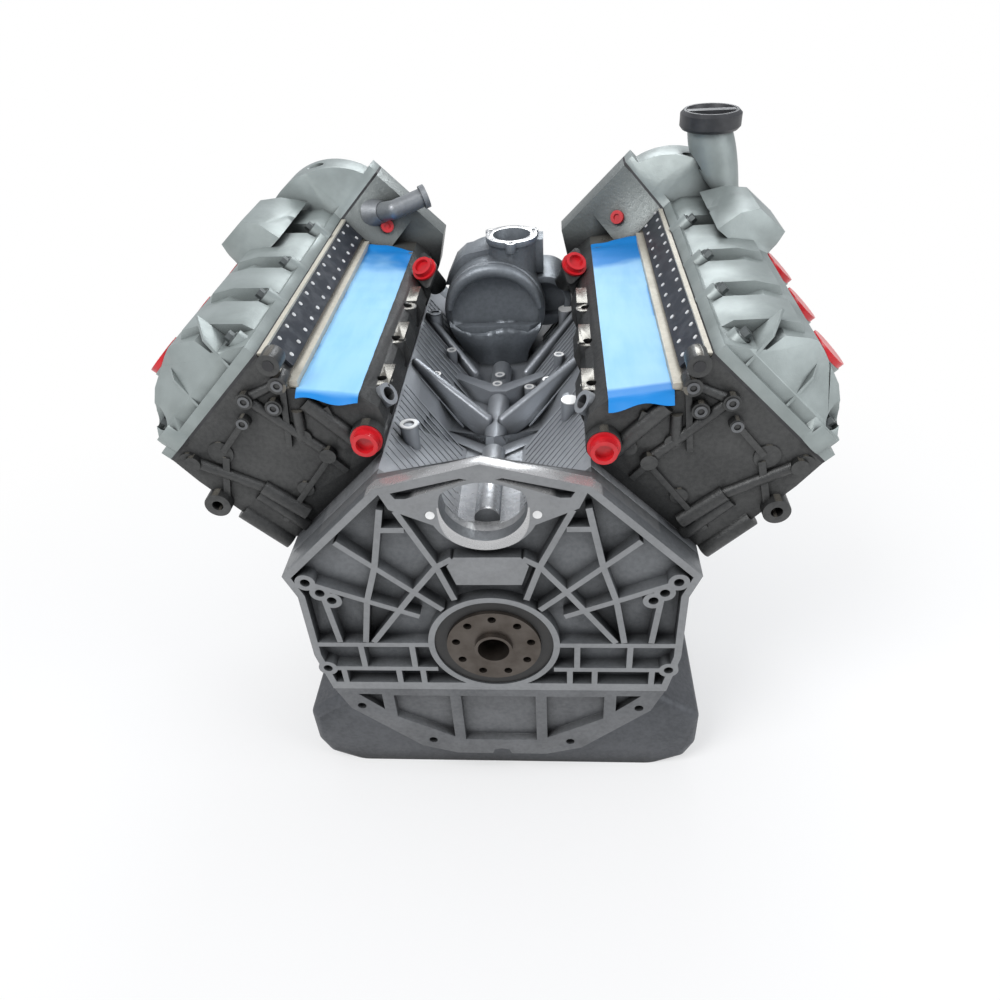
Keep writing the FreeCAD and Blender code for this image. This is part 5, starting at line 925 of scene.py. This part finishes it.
def film_line(side, along, rear, front, columns=16):
    """A line of places across the film."""
    low, high = (Vector((edge[0] * side, 0, edge[1])) for edge in (FILM_LOW, FILM_HIGH))
    loose_rear, loose_front = step(along, rear + 9, rear), step(along, front - 34, front)
    line = []
    for column in range(columns + 1):
        share = column / columns
        place = low.lerp(high, share)
        fold = 0.45 * math.sin(along * 0.21 + 3 * share) + 0.35 * math.sin(along * 0.083 - 5 * share + side)
        lift = 1.3 + fold * (0.5 + 2.2 * loose_front) + 2.4 * loose_front * share
        drop = 10 * loose_rear * (0.7 + 0.3 * math.sin(7 * share + side))
        ragged = 2.2 * math.sin(9 * share + 2 * side) * step(along, front - 12, front)
        line.append(Vector((place.x, along + min(ragged, 0), place.z + lift - drop)) * MM)
    return line


def film_sheet(side, name, rear, front, rows=90):
    """The film of one bank, which stands for the CAD film."""
    places = [rear + 0.6 + (front - rear - 1.2) * row / rows for row in range(rows + 1)]
    lines = [film_line(side, along, rear, front) for along in places]
    order = (0, 1, 2, 3) if side == RIGHT else (3, 2, 1, 0)
    piece = sheet_piece(f"film_{name}", lines, order, blue_film, 0.5, 60)
    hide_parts(f"port_film_{name}")
    return piece


for side, name in SIDE_NAME.items():
    rear, front = (corner[1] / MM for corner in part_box(f"port_film_{name}"))
    print(film_sheet(side, name, rear, front).name, "laid from", round(rear), "to", round(front), "mm")
    for edge, across, up, width in (("low", 183, 294.6, 12), ("high", 206.6, 324.6, 5)):
        ribs.make(f"intake_edge_{edge}_{name}", From=Vector((across * side, rear + 12, up)) * MM,
                  To=Vector((across * side, front, up)) * MM, Width=width * MM, Height=7 * MM, Count=1,
                  Step=(0, 0, 0), Finish=cream_edge)

# %% [markdown]
# ## The rear faces of the heads
# Oil and water ways run under the rear faces and show as half-round ridges between bosses. Tubes modelled
# one by one would do, but there are a dozen of them. A circle swept along a line makes each ridge, sunk to
# its middle in the face.

# %% Ridges and bosses of the rear faces
ridges = Pattern("round_ridges")
ridges.end(bar_between(ridges, circle(ridges, ridges.size("Radius"))))
RIDGES = [((-74, 318), (-72, 240), 9), ((-36, 362), (-40, 268), 6), ((67, 362), (44, 290), 6.5),
          ((44, 292), (40, 238), 9), ((-74, 348), (-36, 362), 5), ((-60, 318), (-36, 296), 6)]
REAR_BOSSES = [(-50, 337), (-36, 362), (67, 362), (-40, 266)]
for side, name in SIDE_NAME.items():
    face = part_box(f"cylinder_head_{name}")[0][1] / MM + 12
    for index, (start, end, radius) in enumerate(RIDGES):
        start, end = (bank_place(side, across, face, up) * MM for across, up in (start, end))
        ridges.make(f"head_ridge_{name}_{index}", From=start, To=end, Radius=radius * MM, Finish=head_casting)
    spots = [bank_place(side, across, face, up) for across, up in REAR_BOSSES]
    discs.make(f"rear_bosses_{name}", spots, (0, -1, 0), Radius=8.5 * MM, Height=15 * MM, Finish=head_casting)
    # painted highlights: rings of a paler casting on the rear bosses stand for bright spots of light on them
    highlight_rims = [bank_place(side, -50, face - 8, 337), bank_place(side, -36, face - 8, 362),
            bank_place(side, -14, face - 9.4, 350), bank_place(side, -74, face - 8.4, 348)]
    rings.make(f"rear_boss_highlight_rims_{name}", highlight_rims, (0, -1, 0), Radius=4.6 * MM, Wall=2.6 * MM, Height=1.6 * MM,
               Finish=pan_casting)
    # painted shade: a thin black disc on this boss stands for the dark inside of a hole
    hole_shades = [bank_place(side, -88, face - 10.2, 366)]
    discs.make(f"rear_boss_hole_shade_{name}", hole_shades, (0, -1, 0), Radius=5.4 * MM, Height=1.2 * MM,
               Finish=black_rubber)

# %% [markdown]
# ## Screws
# Two rows of small socket screws hold the dark plate on each head's inner wall, and two larger ones sit in
# the milled ring of the rear opening. One tree makes them all: a screw is a ring with a lower disc in it,
# put on points that are worked out from the plate's own box, so they stay on the plate if it moves.

# %% Plate screws, ring screws and small plugs
SCREW_PITCH, SCREW_PAIRS, SCREW_ROWS = 27.5, 14, (0.24, 0.76)
for side, name in SIDE_NAME.items():
    plate_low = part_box(f"injector_plate_{name}")[0]
    foot, top = bank_place(side, -80, 0, 344), bank_place(side, -83, 0, 378)
    outward = Vector((0, 1, 0)).cross((top - foot).normalized())
    if outward.x * side > 0:
        outward = -outward
    spots = []
    for index in range(SCREW_PAIRS):
        along = plate_low[1] / MM + 14 + index * SCREW_PITCH
        for climb in SCREW_ROWS:
            shift = Vector((0, along + 8 * (climb > 0.5), 0))
            spots.append(foot + (top - foot) * climb + outward * 3.3 + shift)
    screws.make(f"plate_screws_{name}", spots, outward, Radius=2.3 * MM, Height=1.4 * MM, Finish=bright_rim)
screws.make("opening_screws", [(-52, 1.8, 185), (52, 1.8, 185)], (0, -1, 0), Radius=4.6 * MM, Height=1.2 * MM,
            Finish=bright_rim)
for side, along, ring_along, lift in ((RIGHT, 467, 72, 313), (LEFT, 468, 94, 311)):
    name = SIDE_NAME[side]
    screws.make(f"chest_plug_{name}", [(side * 154, along, lift)], (-0.35 * side, -0.87, 0.35),
                Radius=8.5 * MM, Height=9 * MM, Finish=red_plastic)
    rings.make(f"head_corner_ring_{name}", [(side * 99, ring_along, 266)], (-0.8 * side, -0.25, 0.55),
               Radius=9.5 * MM, Wall=4.5 * MM, Height=9 * MM, Finish=block_casting)

# %% [markdown]
# ## Floor and light
# A plain pale floor and a soft, even studio: a wide key lamp above and behind the camera, a fill from the
# right and a cool one from the front of the engine to draw its edges. Stronger lamps could turn the floor
# white, but they would bleach the aluminium. So the camera sees a white floor and sky through Light Path,
# the metal mirrors the white floor, and the lamps stay at a plain level.

# %% Floor
FLOOR_HEIGHT = -0.2525


def pale_surround(name, colour, seen):
    """A floor that keeps its shadow near the engine and shows white to the camera further out."""
    finish = Finish(name, Roughness=0.9)
    path = finish.tree.nodes.new("ShaderNodeLightPath")
    glow = finish.node("ShaderNodeEmission", {}, {"Color": (*seen, 1.0), "Strength": 1.0})
    shown = Signal(finish, path.outputs["Is Camera Ray"]) + Signal(finish, path.outputs["Is Glossy Ray"])
    away = finish.round_from(0, 0) + abs(finish.along("y") - 0.2)
    plain = Signal(finish, finish.shader.outputs[0])
    share = shown * (away.ramp(0.45, 1.7) * 0.5 + 0.5)
    both = finish.node("ShaderNodeMixShader", {}, {0: share, 1: plain, 2: glow})
    finish.set(Base_Color=(*colour, 1.0))
    finish.tree.links.new(both.socket, finish.tree.nodes["Material Output"].inputs["Surface"])
    return finish.material


floor_mesh = bpy.data.meshes.new("floor")
corners = [(x, y, FLOOR_HEIGHT) for x, y in ((-6, -6), (6, -6), (6, 8), (-6, 8))]
floor_mesh.from_pydata(corners, [], [(0, 1, 2, 3)])
floor = new_piece("floor", floor_mesh, pale_surround("pale_floor", (0.86, 0.86, 0.86), (1.0, 1.0, 1.0)))
print("floor height in millimetres:", FLOOR_HEIGHT / MM)

# %% Lamps and world
def lamp(name, place, target, size, power, colour=(1, 1, 1)):
    """A round soft lamp that looks at a target."""
    data = bpy.data.lights.new(name, "AREA")
    data.shape, data.size, data.energy, data.color = "DISK", size, power, colour
    item = bpy.data.objects.new(name, data)
    away = Vector(place) - Vector(target)
    item.matrix_world = Matrix.Translation(place) @ away.to_track_quat("Z", "Y").to_matrix().to_4x4()
    bpy.context.collection.objects.link(item)


lamp("key_lamp", (-1.1, -1.1, 2.2), (0, 0.2, 0.1), 1.2, 42)
lamp("fill_lamp", (1.7, -0.6, 1.2), (0, 0.2, 0.1), 1.4, 16, (0.96, 0.98, 1.0))
lamp("front_lamp", (0.2, 2.2, 1.6), (0, 0.3, 0.1), 1.2, 26, (0.95, 0.98, 1.0))

world = bpy.data.worlds.new("studio")
bpy.context.scene.world = world
world.use_nodes = True
studio = Graph(world.node_tree)
sky = studio.tree.nodes["Background"]
sky.inputs["Color"].default_value, sky.inputs["Strength"].default_value = (0.93, 0.95, 1.0, 1), 0.55
white = studio.node("ShaderNodeBackground", {}, {"Color": (1, 1, 1, 1)})
seen_by = Signal(studio, studio.tree.nodes.new("ShaderNodeLightPath").outputs["Is Camera Ray"])
choice = studio.node("ShaderNodeMixShader", {}, {0: seen_by, 1: Signal(studio, sky.outputs[0]), 2: white})
studio.feed(studio.tree.nodes["World Output"].inputs["Surface"], choice)
bpy.context.scene.view_settings.view_transform = "Standard"
print("lamps:", [item.name for item in bpy.data.lights])

# %% [markdown]
# ## The meshes of the scene
# The number of meshes in the scene is printed.

# %% Count the meshes
print("meshes handed over:", len(bpy.data.meshes))
